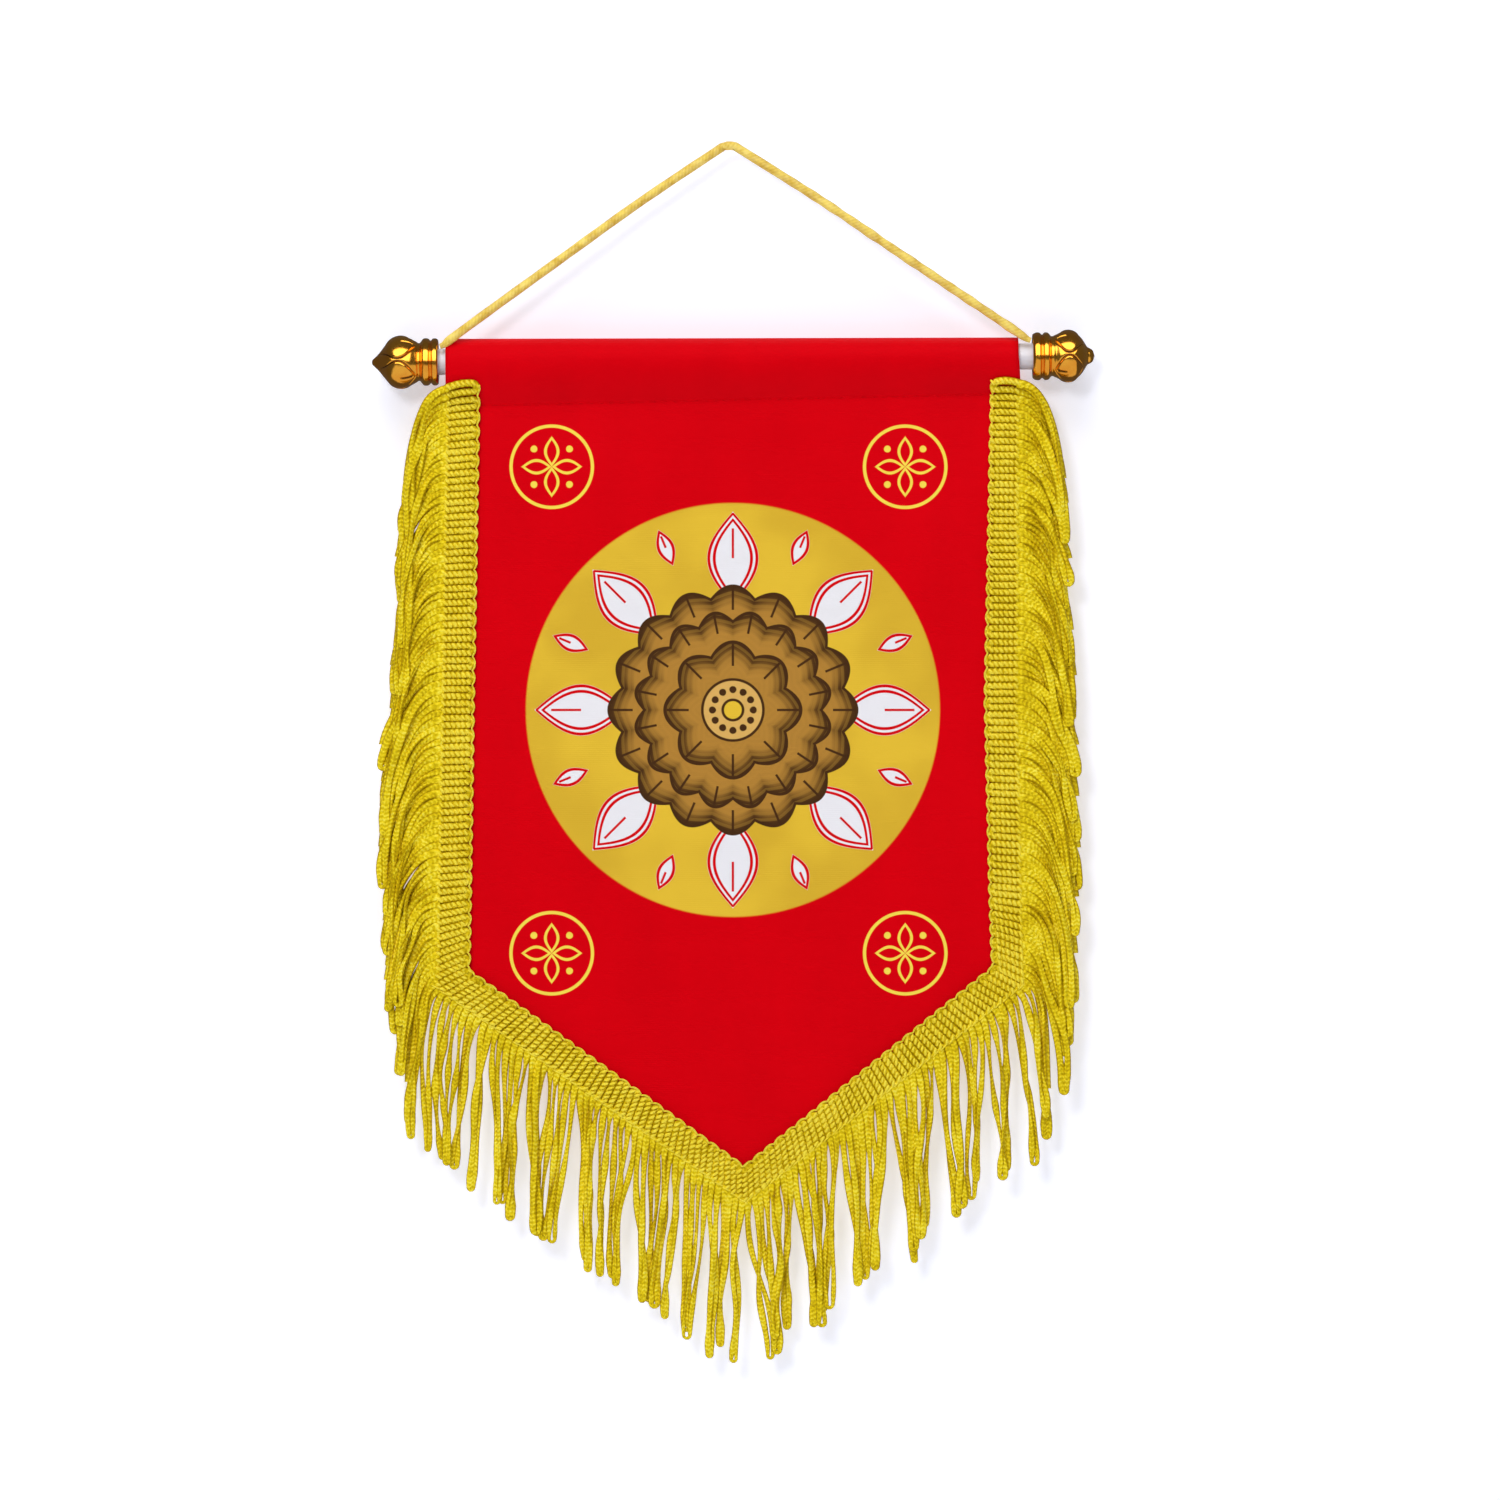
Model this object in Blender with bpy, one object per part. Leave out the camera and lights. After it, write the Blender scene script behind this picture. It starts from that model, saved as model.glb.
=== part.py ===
# A small church banner on its rod, hung by a cord. Metres, Z up, and its front faces -Y.
# The origin is under the bend of the cord, where a nail or a hook holds the banner up.
# Run with: blender --background --python part.py

import math
from collections import namedtuple

import bmesh
import bpy
from mathutils import Vector

MM = 0.001
GAP = 0.3 * MM  # between neighbouring pieces
SEWN_GAP = 0.4 * MM  # between the cloth and the heading that lies along its folds

# Rod: its axis passes through these two points and hangs a little higher on the right.
ROD_DIAMETER = 7.7 * MM
ROD_LEFT_X, ROD_LEFT_Z = -85.1 * MM, -62.4 * MM
ROD_RIGHT_X, ROD_RIGHT_Z = 87.2 * MM, -60.8 * MM
ROD_SIDES = 24

# Finials: where the mouth of each one ends, and how deep its socket takes the rod.
MOUTH_LEFT_X, MOUTH_RIGHT_X = -85.9 * MM, 89.4 * MM
SOCKET_DEPTH = 9.0 * MM
ROD_IN_SOCKET = 8.0 * MM
FINIAL_SIDES = 18

# Cloth: one layer, the pocket round the rod, and the hem below the pocket's seam.
CLOTH_THICKNESS = 1.0 * MM
POCKET_HALF_DEPTH = 5.5 * MM
POCKET_TOP_LEFT_Z, POCKET_TOP_RIGHT_Z = -55.6 * MM, -55.2 * MM
POCKET_LEFT_X, POCKET_RIGHT_X = -83.6 * MM, 85.1 * MM
SEAM_LEFT_Z, SEAM_RIGHT_Z = -75.3 * MM, -71.6 * MM
SEAM_FRONT_Y = -1.0 * MM
HEM_HEIGHT = 4.0 * MM
FOLD_FADE = 22.0 * MM  # below the seam, before the folds reach their full depth
CORNER_DIP = 1.5 * MM  # the cord presses the pocket's left corner down on the rod
CORNER_DIP_WIDTH = 9.0 * MM
CORNER_CUT = 1.1 * MM  # and pushes its top edge back along the rod
CORNER_CUT_FALL = 12  # power by which the push fades across the cloth

# How finely the cloth is divided.
COLUMNS_EACH_SIDE = 10
PANEL_ROWS = 18
POCKET_WALL_STEPS = 4
POCKET_TOP_STEPS = 8

# Heading and fringe.
HEADING_THICKNESS = 1.2 * MM
HEADING_CELLS_ACROSS = 2
HEADING_CELLS_A_TOOTH = 2
FRINGE_THICKNESS = 2.4 * MM
TOOTH_SHARE = 0.8  # of the pitch; the rest is the slot between two teeth
TOOTH_ROWS = (0.0, 0.07, 0.25, 0.45, 0.65, 0.83, 1.0)  # shares of a tooth's length; band first
TOOTH_UNEVENNESS = 0.05  # share of the drop by which neighbouring teeth differ
TOOTH_BEAT = 2.4  # radians from one tooth to the next in that unevenness
STRAND_BOW = 0.35  # how much sooner the strands stand out than they come down
STRAND_FALL = 1.4  # power of the share along a strand that gives its fall

CORD_DIAMETER = 2.6 * MM
CORD_STEP = 5.5 * MM

# The cloth's edge and the trim along it, from the top left, down and round to the top right.
# Millimetres: the outer and inner edge of the heading, then how far the fringe stands out
# there and how far it drops. The last value is the number of teeth up to the next row.
Station = namedtuple("Station", "outer_x outer_z inner_x inner_z reach drop teeth")
TRIM = (
    Station(-83.6, -69.4, -73.7, -68.2, 12.0, 32.0, 7),
    Station(-85.2, -162.0, -75.4, -162.0, 15.0, 35.0, 4),
    Station(-86.2, -219.0, -76.2, -218.0, 14.0, 38.0, 2),
    Station(-86.6, -247.0, -76.6, -241.8, 7.5, 46.0, 3),
    Station(-58.8, -266.4, -52.1, -259.3, 3.5, 48.0, 8),
    Station(4.6, -310.5, 4.3, -299.6, 2.0, 47.0, 8),
    Station(61.9, -265.8, 55.1, -258.8, 3.5, 48.0, 3),
    Station(87.2, -246.0, 77.4, -240.9, 7.5, 46.0, 2),
    Station(86.4, -219.0, 76.6, -218.0, 14.0, 38.0, 4),
    Station(85.3, -162.0, 75.3, -162.0, 15.5, 35.0, 7),
    Station(85.7, -67.9, 77.2, -67.7, 12.0, 32.0, 0),
)
LEFT_CORNER, TIP, RIGHT_CORNER = TRIM[3], TRIM[5], TRIM[7]

# Soft folds of the hanging cloth, in millimetres and degrees from level. A ridge has a
# negative depth, towards the front, and a trough a positive one.
Fold = namedtuple("Fold", "x z turn length width depth")
FOLDS = (
    Fold(-41.0, -97.0, 18.0, 42.0, 14.0, -1.3),
    Fold(16.0, -86.0, 0.0, 30.0, 9.0, 0.7),
    Fold(58.0, -121.0, -5.0, 27.0, 13.0, -1.1),
    Fold(-8.0, -152.0, 28.0, 60.0, 18.0, 0.8),
    Fold(-68.0, -212.0, 8.0, 34.0, 30.0, -1.6),
    Fold(63.0, -213.0, -12.0, 32.0, 25.0, -1.4),
    Fold(3.0, -270.0, 0.0, 52.0, 25.0, 1.5),
)

# Turned profiles of the finials, in millimetres from the mouth to the tip.
Turn = namedtuple("Turn", "along radius")
FINIAL_LEFT_TURNS = (
    Turn(0.0, 6.5),
    Turn(0.5, 6.9),
    Turn(1.5, 6.9),
    Turn(2.2, 6.3),
    Turn(2.9, 6.9),
    Turn(4.3, 6.9),
    Turn(5.5, 5.6),
    Turn(6.6, 6.1),
    Turn(8.6, 7.1),
    Turn(11.0, 7.4),
    Turn(13.0, 7.0),
    Turn(14.6, 6.1),
    Turn(16.0, 4.5),
    Turn(17.4, 2.7),
    Turn(18.7, 1.4),
    Turn(19.4, 0.7),
    Turn(19.6, 0.0),
)
FINIAL_RIGHT_TURNS = (
    Turn(0.0, 6.5),
    Turn(0.9, 7.0),
    Turn(2.0, 7.0),
    Turn(2.8, 6.4),
    Turn(3.5, 7.0),
    Turn(4.6, 6.9),
    Turn(5.6, 5.9),
    Turn(6.8, 6.3),
    Turn(8.4, 7.0),
    Turn(10.6, 7.3),
    Turn(12.6, 6.8),
    Turn(14.2, 5.3),
    Turn(15.3, 3.2),
    Turn(15.9, 2.3),
    Turn(16.9, 2.2),
    Turn(17.8, 1.5),
    Turn(18.3, 0.0),
)

# The cord's route from the left finial over the nail to the right finial, in millimetres.
CORD_ROUTE = (
    (-85.25, -4.0, -58.1),
    (-83.9, -4.1, -57.5),
    (-81.6, -4.0, -55.6),
    (-70.0, -3.3, -47.0),
    (-48.0, -2.2, -31.0),
    (-26.4, -1.2, -15.4),
    (-4.0, -0.1, -0.3),
    (-1.7, 0.0, 1.1),
    (0.0, 0.0, 1.35),
    (1.7, 0.0, 1.1),
    (4.0, -0.1, -0.3),
    (26.7, -1.1, -14.7),
    (48.0, -2.0, -29.1),
    (70.0, -3.0, -43.9),
    (84.5, -3.6, -53.7),
    (87.4, -3.7, -55.7),
    (88.7, -3.7, -56.3),
)

Finish = namedtuple("Finish", "colour roughness metallic")
SATIN_RED = Finish((0.63, 0.0, 0.006), 0.42, 0.0)
FRINGE_YELLOW = Finish((0.72, 0.56, 0.02), 0.5, 0.0)
CORD_GOLD = Finish((0.85, 0.62, 0.16), 0.38, 0.0)
ROD_WHITE = Finish((0.75, 0.75, 0.78), 0.35, 0.0)
GILT = Finish((0.83, 0.5, 0.09), 0.16, 1.0)


def lerp(start, end, share):
    return start + (end - start) * share


def smooth(share):
    share = min(max(share, 0.0), 1.0)
    return share * share * (3.0 - 2.0 * share)


def read_table(place, rows):
    """The value at a place, on straight lines between (place, value) rows in rising order."""
    for (low, start), (high, end) in zip(rows, rows[1:]):
        if place <= high:
            return lerp(start, end, max((place - low) / (high - low), 0.0))
    return rows[-1][1]


# --- Where things are -------------------------------------------------------------------


def rod_z(x):
    return lerp(ROD_LEFT_Z, ROD_RIGHT_Z, (x - ROD_LEFT_X) / (ROD_RIGHT_X - ROD_LEFT_X))


def across(x):
    return (x - POCKET_LEFT_X) / (POCKET_RIGHT_X - POCKET_LEFT_X)


def seam_z(x):
    return lerp(SEAM_LEFT_Z, SEAM_RIGHT_Z, across(x))


def pocket_top_z(x):
    dip = CORNER_DIP * (1.0 - smooth((x - POCKET_LEFT_X) / CORNER_DIP_WIDTH))
    return lerp(POCKET_TOP_LEFT_Z, POCKET_TOP_RIGHT_Z, across(x)) - dip


LEFT_EDGE = [(ROD_LEFT_Z, POCKET_LEFT_X)] + [(s.outer_z * MM, s.outer_x * MM) for s in TRIM[:4]]
RIGHT_EDGE = [(s.outer_z * MM, s.outer_x * MM) for s in TRIM[7:]] + [(ROD_RIGHT_Z, POCKET_RIGHT_X)]
LOWER_EDGE = [(s.outer_x * MM, s.outer_z * MM) for s in (LEFT_CORNER, TIP, RIGHT_CORNER)]


def edge_x(z, share):
    """Where a share of the cloth's width lies at a height."""
    return lerp(read_table(z, LEFT_EDGE[::-1]), read_table(z, RIGHT_EDGE), share)


def fold_y(x, z):
    y = SEAM_FRONT_Y
    fade = smooth((seam_z(x) - z) / FOLD_FADE)
    for fold in FOLDS:
        turn = math.radians(fold.turn)
        right, up = x - fold.x * MM, z - fold.z * MM
        along = (right * math.cos(turn) + up * math.sin(turn)) / (fold.length * MM)
        over = (up * math.cos(turn) - right * math.sin(turn)) / (fold.width * MM)
        y += fade * fold.depth * MM * math.exp(-along * along - over * over)
    return y


def front_y(x, z):
    """The front of the cloth: the folded panel, and above the seam the pocket's front wall."""
    low, high = seam_z(x), rod_z(x)
    if z <= low:
        return fold_y(x, z)
    rise = math.sin(min((z - low) / (high - low), 1.0) * math.pi / 2)
    return lerp(SEAM_FRONT_Y, -POCKET_HALF_DEPTH, rise)


# --- Making objects ----------------------------------------------------------------------


def make_material(name, finish):
    material = bpy.data.materials.new(name)
    material.use_nodes = True
    shader = material.node_tree.nodes["Principled BSDF"]
    shader.inputs["Base Color"].default_value = (*finish.colour, 1.0)
    shader.inputs["Roughness"].default_value = finish.roughness
    shader.inputs["Metallic"].default_value = finish.metallic
    return material


def add_object(name, data, finish):
    made = bpy.data.objects.new(name, data)
    data.materials.append(make_material(name, finish))
    bpy.context.collection.objects.link(made)
    return made


def finish_mesh(name, shape, finish, sharp_above=30.0):
    bmesh.ops.recalc_face_normals(shape, faces=shape.faces)
    mesh = bpy.data.meshes.new(name)
    shape.to_mesh(mesh)
    shape.free()
    mesh.shade_smooth()
    mesh.set_sharp_from_angle(angle=math.radians(sharp_above))
    return add_object(name, mesh, finish)


def turned_body(name, profile, sides, start, axis, finish):
    """A body turned round an axis; its profile starts and ends on that axis."""
    shape = bmesh.new()
    side = axis.cross(Vector((0.0, 1.0, 0.0))).normalized()
    other = axis.cross(side).normalized()
    rings = []
    for along, radius in profile:
        centre = start + axis * along
        if radius == 0.0:
            rings.append([shape.verts.new(centre)])
            continue
        angles = [2 * math.pi * k / sides for k in range(sides)]
        rings.append(
            [
                shape.verts.new(centre + (side * math.cos(a) + other * math.sin(a)) * radius)
                for a in angles
            ]
        )
    for one, two in zip(rings, rings[1:]):
        for k in range(sides):
            around = (k + 1) % sides
            corners = [one[k % len(one)], one[around % len(one)]]
            corners += [two[around % len(two)], two[k % len(two)]]
            shape.faces.new(dict.fromkeys(corners))
    return finish_mesh(name, shape, finish)


def slab(name, points, cells, finish):
    """A closed sheet from (x, z, front y, back y) points and the cells that are filled."""
    shape = bmesh.new()
    front = [shape.verts.new((x, fore, z)) for x, z, fore, _ in points]
    back = [shape.verts.new((x, aft, z)) for x, z, _, aft in points]
    sides = {}
    for cell in cells:
        shape.faces.new([front[k] for k in cell])
        shape.faces.new([back[k] for k in reversed(cell)])
        for one, two in zip(cell, cell[1:] + cell[:1]):
            sides[frozenset((one, two))] = sides.get(frozenset((one, two)), 0) + 1
    for (one, two), uses in ((tuple(edge), uses) for edge, uses in sides.items()):
        if uses == 1:
            shape.faces.new((front[one], front[two], back[two], back[one]))
    for loose in [v for v in shape.verts if not v.link_faces]:
        shape.verts.remove(loose)
    return finish_mesh(name, shape, finish)


# --- Cloth -------------------------------------------------------------------------------


def pocket_section(share):
    """The pocket's outer and inner points over the rod, from the seam at the front to that
    at the back. The first and last inner points are the same one, in the crotch."""
    outer, inner = [], []
    steps = [("front", k / POCKET_WALL_STEPS) for k in range(POCKET_WALL_STEPS)]
    steps += [("top", k / POCKET_TOP_STEPS) for k in range(POCKET_TOP_STEPS + 1)]
    steps += [("back", 1 - k / POCKET_WALL_STEPS) for k in range(1, POCKET_WALL_STEPS + 1)]
    level = edge_x(ROD_LEFT_Z, share)
    low, middle, high = seam_z(level), rod_z(level), pocket_top_z(level)
    for part, place in steps:
        if part == "top":
            turn = math.pi * place
            y, z = -POCKET_HALF_DEPTH * math.cos(turn), lerp(middle, high, math.sin(turn))
            thinner = 1 - CLOTH_THICKNESS / POCKET_HALF_DEPTH
            inner_y = y * thinner
            inner_z = lerp(middle, high - CLOTH_THICKNESS, math.sin(turn))
        else:
            z = inner_z = lerp(low, middle, place)
            y = lerp(SEAM_FRONT_Y, -POCKET_HALF_DEPTH, math.sin(place * math.pi / 2))
            inner_y = y + CLOTH_THICKNESS
            if part == "back":
                y, inner_y = -y, -inner_y
        cut = CORNER_CUT * (1 - share) ** CORNER_CUT_FALL * max((z - middle) / (high - middle), 0.0)
        outer.append(Vector((edge_x(z, share) + cut, y, z)))
        inner.append(Vector((edge_x(inner_z, share) + cut, inner_y, inner_z)))
    return outer, inner


def cloth_section(share):
    """The points of one column: the outer loop from the front's lower edge over the pocket
    to the back's lower edge, and the loop inside the pocket."""
    foot_x = edge_x(LEFT_CORNER.outer_z * MM, share)
    foot = read_table(foot_x, LOWER_EDGE)
    hem = seam_z(foot_x) - HEM_HEIGHT
    levels = [lerp(foot, hem, k / PANEL_ROWS) for k in range(PANEL_ROWS + 1)]
    places = [(edge_x(z, share), z) for z in levels]
    front = [Vector((x, front_y(x, z), z)) for x, z in places]
    back = [point + Vector((0.0, CLOTH_THICKNESS, 0.0)) for point in front]
    flap = back[-1] + Vector((0.0, CLOTH_THICKNESS, 0.0))
    over, inside = pocket_section(share)
    return front + over + [flap] + back[::-1], inside[:-1]


def build_cloth():
    tip = across(TIP.outer_x * MM)
    shares = [tip * k / COLUMNS_EACH_SIDE for k in range(COLUMNS_EACH_SIDE)]
    shares += [lerp(tip, 1.0, k / COLUMNS_EACH_SIDE) for k in range(COLUMNS_EACH_SIDE + 1)]
    shape = bmesh.new()
    columns = []
    for share in shares:
        outer, inner = cloth_section(share)
        columns.append(
            ([shape.verts.new(p) for p in outer], [shape.verts.new(p) for p in inner])
        )
    for one, two in zip(columns, columns[1:]):
        for loop in (0, 1):
            count = len(one[loop])
            for k in range(count):
                after = (k + 1) % count
                shape.faces.new((one[loop][k], one[loop][after], two[loop][after], two[loop][k]))
    for outer, inner in (columns[0], columns[-1]):
        close_section(shape, outer, inner)
    return finish_mesh("cloth", shape, SATIN_RED)


def close_section(shape, outer, inner):
    """The cut edge of the cloth at one side: the panel, the hem, then round the pocket."""
    last = len(outer) - 1
    for k in range(PANEL_ROWS):
        shape.faces.new((outer[k], outer[k + 1], outer[last - k - 1], outer[last - k]))
    seam = PANEL_ROWS + 1
    around = len(inner)
    hem_top = [outer[seam - 1], outer[seam], inner[0]]
    hem_back = [outer[seam + around], outer[seam + around + 1], outer[seam + around + 2]]
    shape.faces.new(hem_top + hem_back)
    for k in range(around):
        near, far = inner[k], inner[(k + 1) % around]
        shape.faces.new((outer[seam + k], outer[seam + k + 1], far, near))


# --- Heading and fringe ------------------------------------------------------------------


def trim_place(row, share):
    """The trim's values a share of the way from one row of its table to the next."""
    one, two = TRIM[row], TRIM[min(row + 1, len(TRIM) - 1)]
    return Station(*(lerp(a, b, share) for a, b in zip(one, two)))


def build_heading():
    places = []
    for row, station in enumerate(TRIM[:-1]):
        steps = HEADING_CELLS_A_TOOTH * station.teeth
        places += [trim_place(row, k / steps) for k in range(steps)]
    places.append(TRIM[-1])
    points, cells = [], []
    across_count = HEADING_CELLS_ACROSS + 1
    for at in places:
        for k in range(across_count):
            x = lerp(at.outer_x, at.inner_x, k / HEADING_CELLS_ACROSS) * MM
            z = lerp(at.outer_z, at.inner_z, k / HEADING_CELLS_ACROSS) * MM
            back = front_y(x, z) - SEWN_GAP
            points.append((x, z, back - HEADING_THICKNESS, back))
    for row in range(len(places) - 1):
        for k in range(HEADING_CELLS_ACROSS):
            low = row * across_count + k
            cells.append((low, low + 1, low + 1 + across_count, low + across_count))
    return slab("heading", points, cells, FRINGE_YELLOW)


def outward(row, share):
    """The direction in which strands leave the edge. Rows that turn a corner share theirs."""
    def of(k):
        one, two = TRIM[k], TRIM[k + 1]
        run = Vector((two.outer_x - one.outer_x, 0.0, two.outer_z - one.outer_z)).normalized()
        return Vector((run.z, 0.0, -run.x))
    if share == 0.0 and row > 0:
        return (of(row - 1) + of(row)).normalized()
    return of(row)


def fringe_column(row, share, bump):
    """The points down one side of a tooth, from the heading's edge to the strands' ends."""
    at, away = trim_place(row, share), outward(row, share)
    root = Vector((at.outer_x, 0.0, at.outer_z)) * MM + away * GAP
    depth = front_y(at.outer_x * MM, at.outer_z * MM) - SEWN_GAP - HEADING_THICKNESS / 2
    reach, drop = at.reach * MM, at.drop * (1 + bump) * MM
    points = []
    for t in TOOTH_ROWS:
        place = root + away * reach * t * (1 + STRAND_BOW * (1 - t))
        place.z -= drop * t**STRAND_FALL
        half = FRINGE_THICKNESS / 2
        points.append((place.x, place.z, depth - half, depth + half))
    return points


def build_fringe():
    """One comb: a band along the heading, and a tooth for each bundle of strands."""
    points, cells = [], []
    rows = len(TOOTH_ROWS)
    slot = (1 - TOOTH_SHARE) / 2
    starts_tooth = []
    count = 0
    for row, station in enumerate(TRIM[:-1]):
        if row > 0:
            points += fringe_column(row, 0.0, 0.0)
            starts_tooth.append(False)
        for k in range(station.teeth):
            bump = TOOTH_UNEVENNESS * math.sin(TOOTH_BEAT * count)
            for place in (k + slot, k + 1 - slot):
                points += fringe_column(row, place / station.teeth, bump)
            starts_tooth += [True, False]
            count += 1
    for column, tooth in enumerate(starts_tooth[:-1]):
        for k in range(rows - 1 if tooth else 1):
            low = column * rows + k
            cells.append((low, low + 1, low + 1 + rows, low + rows))
    return slab("fringe", points, cells, FRINGE_YELLOW)


# --- Rod, finials and cord ---------------------------------------------------------------


def rod_axis():
    run = Vector((ROD_RIGHT_X - ROD_LEFT_X, 0.0, ROD_RIGHT_Z - ROD_LEFT_Z))
    return run.normalized()


def on_rod(x):
    return Vector((x, 0.0, rod_z(x)))


def build_rod():
    axis = rod_axis()
    start = on_rod(MOUTH_LEFT_X) - axis * ROD_IN_SOCKET
    end = on_rod(MOUTH_RIGHT_X) + axis * ROD_IN_SOCKET
    length, radius = (end - start).length, ROD_DIAMETER / 2
    profile = [(0.0, 0.0), (0.0, radius), (length, radius), (length, 0.0)]
    return turned_body("rod", profile, ROD_SIDES, start, axis, ROD_WHITE)


def build_finial(name, turns, mouth_x, axis):
    socket = ROD_DIAMETER / 2 + GAP
    profile = [(SOCKET_DEPTH, 0.0), (SOCKET_DEPTH, socket), (0.0, socket)]
    profile += [(turn.along * MM, turn.radius * MM) for turn in turns]
    return turned_body(name, profile, FINIAL_SIDES, on_rod(mouth_x), axis, GILT)


def smooth_route(points, step):
    """Points read off a smooth curve that passes through all of the route's own."""
    ends = [points[0] * 2 - points[1]] + points + [points[-1] * 2 - points[-2]]
    route = []
    for before, start, end, after in zip(ends, ends[1:], ends[2:], ends[3:]):
        count = max(round((end - start).length / step), 1)
        for k in range(count):
            t = k / count
            bend = (end - before) * t + (before * 2 - start * 5 + end * 4 - after) * t * t
            bend += (start * 3 - before - end * 3 + after) * t**3
            route.append(start + bend / 2)
    return route + [points[-1]]


def build_cord():
    route = smooth_route([Vector(point) * MM for point in CORD_ROUTE], CORD_STEP)
    curve = bpy.data.curves.new("hanging_cord", "CURVE")
    curve.dimensions = "3D"
    curve.bevel_depth = CORD_DIAMETER / 2
    curve.bevel_resolution = 2
    curve.use_fill_caps = True
    spline = curve.splines.new("POLY")
    spline.points.add(len(route) - 1)
    for point, place in zip(spline.points, route):
        point.co = (*place, 1.0)
    return add_object("hanging_cord", curve, CORD_GOLD)


def build_banner():
    for old in list(bpy.data.objects):
        bpy.data.objects.remove(old)
    build_cloth()
    build_heading()
    build_fringe()
    build_rod()
    build_finial("finial_left", FINIAL_LEFT_TURNS, MOUTH_LEFT_X, -rod_axis())
    build_finial("finial_right", FINIAL_RIGHT_TURNS, MOUTH_RIGHT_X, rod_axis())
    build_cord()


build_banner()
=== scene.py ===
import math
import random

import bmesh
import bpy
import numpy as np
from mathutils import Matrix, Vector


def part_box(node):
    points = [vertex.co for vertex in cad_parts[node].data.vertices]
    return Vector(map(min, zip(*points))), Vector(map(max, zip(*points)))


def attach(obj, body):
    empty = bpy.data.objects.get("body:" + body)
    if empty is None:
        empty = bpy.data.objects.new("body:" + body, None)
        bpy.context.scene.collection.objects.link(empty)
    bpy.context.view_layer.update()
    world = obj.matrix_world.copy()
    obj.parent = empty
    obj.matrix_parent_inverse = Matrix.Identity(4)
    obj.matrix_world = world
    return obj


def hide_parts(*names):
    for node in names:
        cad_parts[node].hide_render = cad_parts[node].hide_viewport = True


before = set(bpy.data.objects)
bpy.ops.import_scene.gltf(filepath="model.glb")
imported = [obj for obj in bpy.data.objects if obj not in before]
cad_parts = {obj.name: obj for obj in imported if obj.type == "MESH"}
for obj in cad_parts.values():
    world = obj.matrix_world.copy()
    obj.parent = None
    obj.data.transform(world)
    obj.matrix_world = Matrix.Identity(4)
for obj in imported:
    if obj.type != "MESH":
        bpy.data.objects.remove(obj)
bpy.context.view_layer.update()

# Sizes are in millimetres, and mm turns them into the metres of the frame. The front faces -Y.
mm = 0.001
body = "root"


# Node trees: a Wire is a socket that takes part in sums, and a Graph adds nodes to one tree.

class Wire:
    def __init__(self, graph, socket):
        self.graph, self.socket = graph, socket

    def __add__(self, other): return self.graph.maths("ADD", self, other)
    def __radd__(self, other): return self.graph.maths("ADD", other, self)
    def __sub__(self, other): return self.graph.maths("SUBTRACT", self, other)
    def __rsub__(self, other): return self.graph.maths("SUBTRACT", other, self)
    def __mul__(self, other): return self.graph.maths("MULTIPLY", self, other)
    def __rmul__(self, other): return self.graph.maths("MULTIPLY", other, self)
    def __truediv__(self, other): return self.graph.maths("DIVIDE", self, other)
    def __rtruediv__(self, other): return self.graph.maths("DIVIDE", other, self)
    def __pow__(self, other): return self.graph.maths("POWER", self, other)
    def __gt__(self, other): return self.graph.maths("GREATER_THAN", self, other)
    def __lt__(self, other): return self.graph.maths("LESS_THAN", self, other)
    def __abs__(self): return self.graph.maths("ABSOLUTE", self)


class Graph:
    def __init__(self, tree):
        self.tree = tree

    # settings are set first, then the sockets get their values or links; the chosen output comes back
    def add(self, kind, settings=None, values=None, out=0):
        made = self.tree.nodes.new(kind)
        for name, value in (settings or {}).items():
            setattr(made, name, value)
        for name, value in (values or {}).items():
            if isinstance(value, Wire):
                self.tree.links.new(value.socket, made.inputs[name])
            else:
                made.inputs[name].default_value = value
        return Wire(self, made.outputs[out]) if made.outputs else made

    def maths(self, operation, *numbers):
        values = dict(enumerate(numbers))
        return self.add("ShaderNodeMath", {"operation": operation}, values)

    # 0 below low, 1 above high, with a soft step between them
    def step(self, value, low, high):
        return self.add("ShaderNodeMapRange", {"interpolation_type": "SMOOTHSTEP"},
                        {"Value": value, "From Min": low, "From Max": high})

    def blend(self, amount, first, second):
        colours = [c if isinstance(c, Wire) else (*c, 1.0) for c in (first, second)]
        return self.add("ShaderNodeMix", {"data_type": "RGBA"},
                        {0: amount, 6: colours[0], 7: colours[1]}, out=2)

    def noise(self, place, scale, detail=2.0, roughness=0.5, stretch=(1, 1, 1)):
        place = self.add("ShaderNodeMapping", None, {"Vector": place, "Scale": stretch})
        return self.add("ShaderNodeTexNoise", None, {"Vector": place, "Scale": scale,
                                                     "Detail": detail, "Roughness": roughness})

    def attribute(self, name, out="Fac"):
        return self.add("ShaderNodeAttribute", {"attribute_name": name}, out=out)

    def objectPlace(self):
        return self.add("ShaderNodeTexCoord", out="Object")

    def stored(self, name, kind="FLOAT_VECTOR"):
        return self.add("GeometryNodeInputNamedAttribute", {"data_type": kind}, {"Name": name})

    def find(self, kind):
        return next(node for node in self.tree.nodes if node.type == kind)

    def parts(self, vector):
        made = self.add("ShaderNodeSeparateXYZ", None, {0: vector})
        return [Wire(self, socket) for socket in made.socket.node.outputs]


def srgb(red, green, blue):
    def linear(c):
        c = c / 255
        return c / 12.92 if c <= 0.04045 else ((c + 0.055) / 1.055) ** 2.4
    return linear(red), linear(green), linear(blue)


# A new material's graph and its Principled shader; constants go on the shader's own sockets.
def newFinish(name, **constants):
    material = bpy.data.materials.new(name)
    material.use_nodes = True
    graph = Graph(material.node_tree)
    shader = graph.find("BSDF_PRINCIPLED")
    for socket, value in constants.items():
        shader.inputs[socket.replace("_", " ")].default_value = value
    return material, graph, shader


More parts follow.
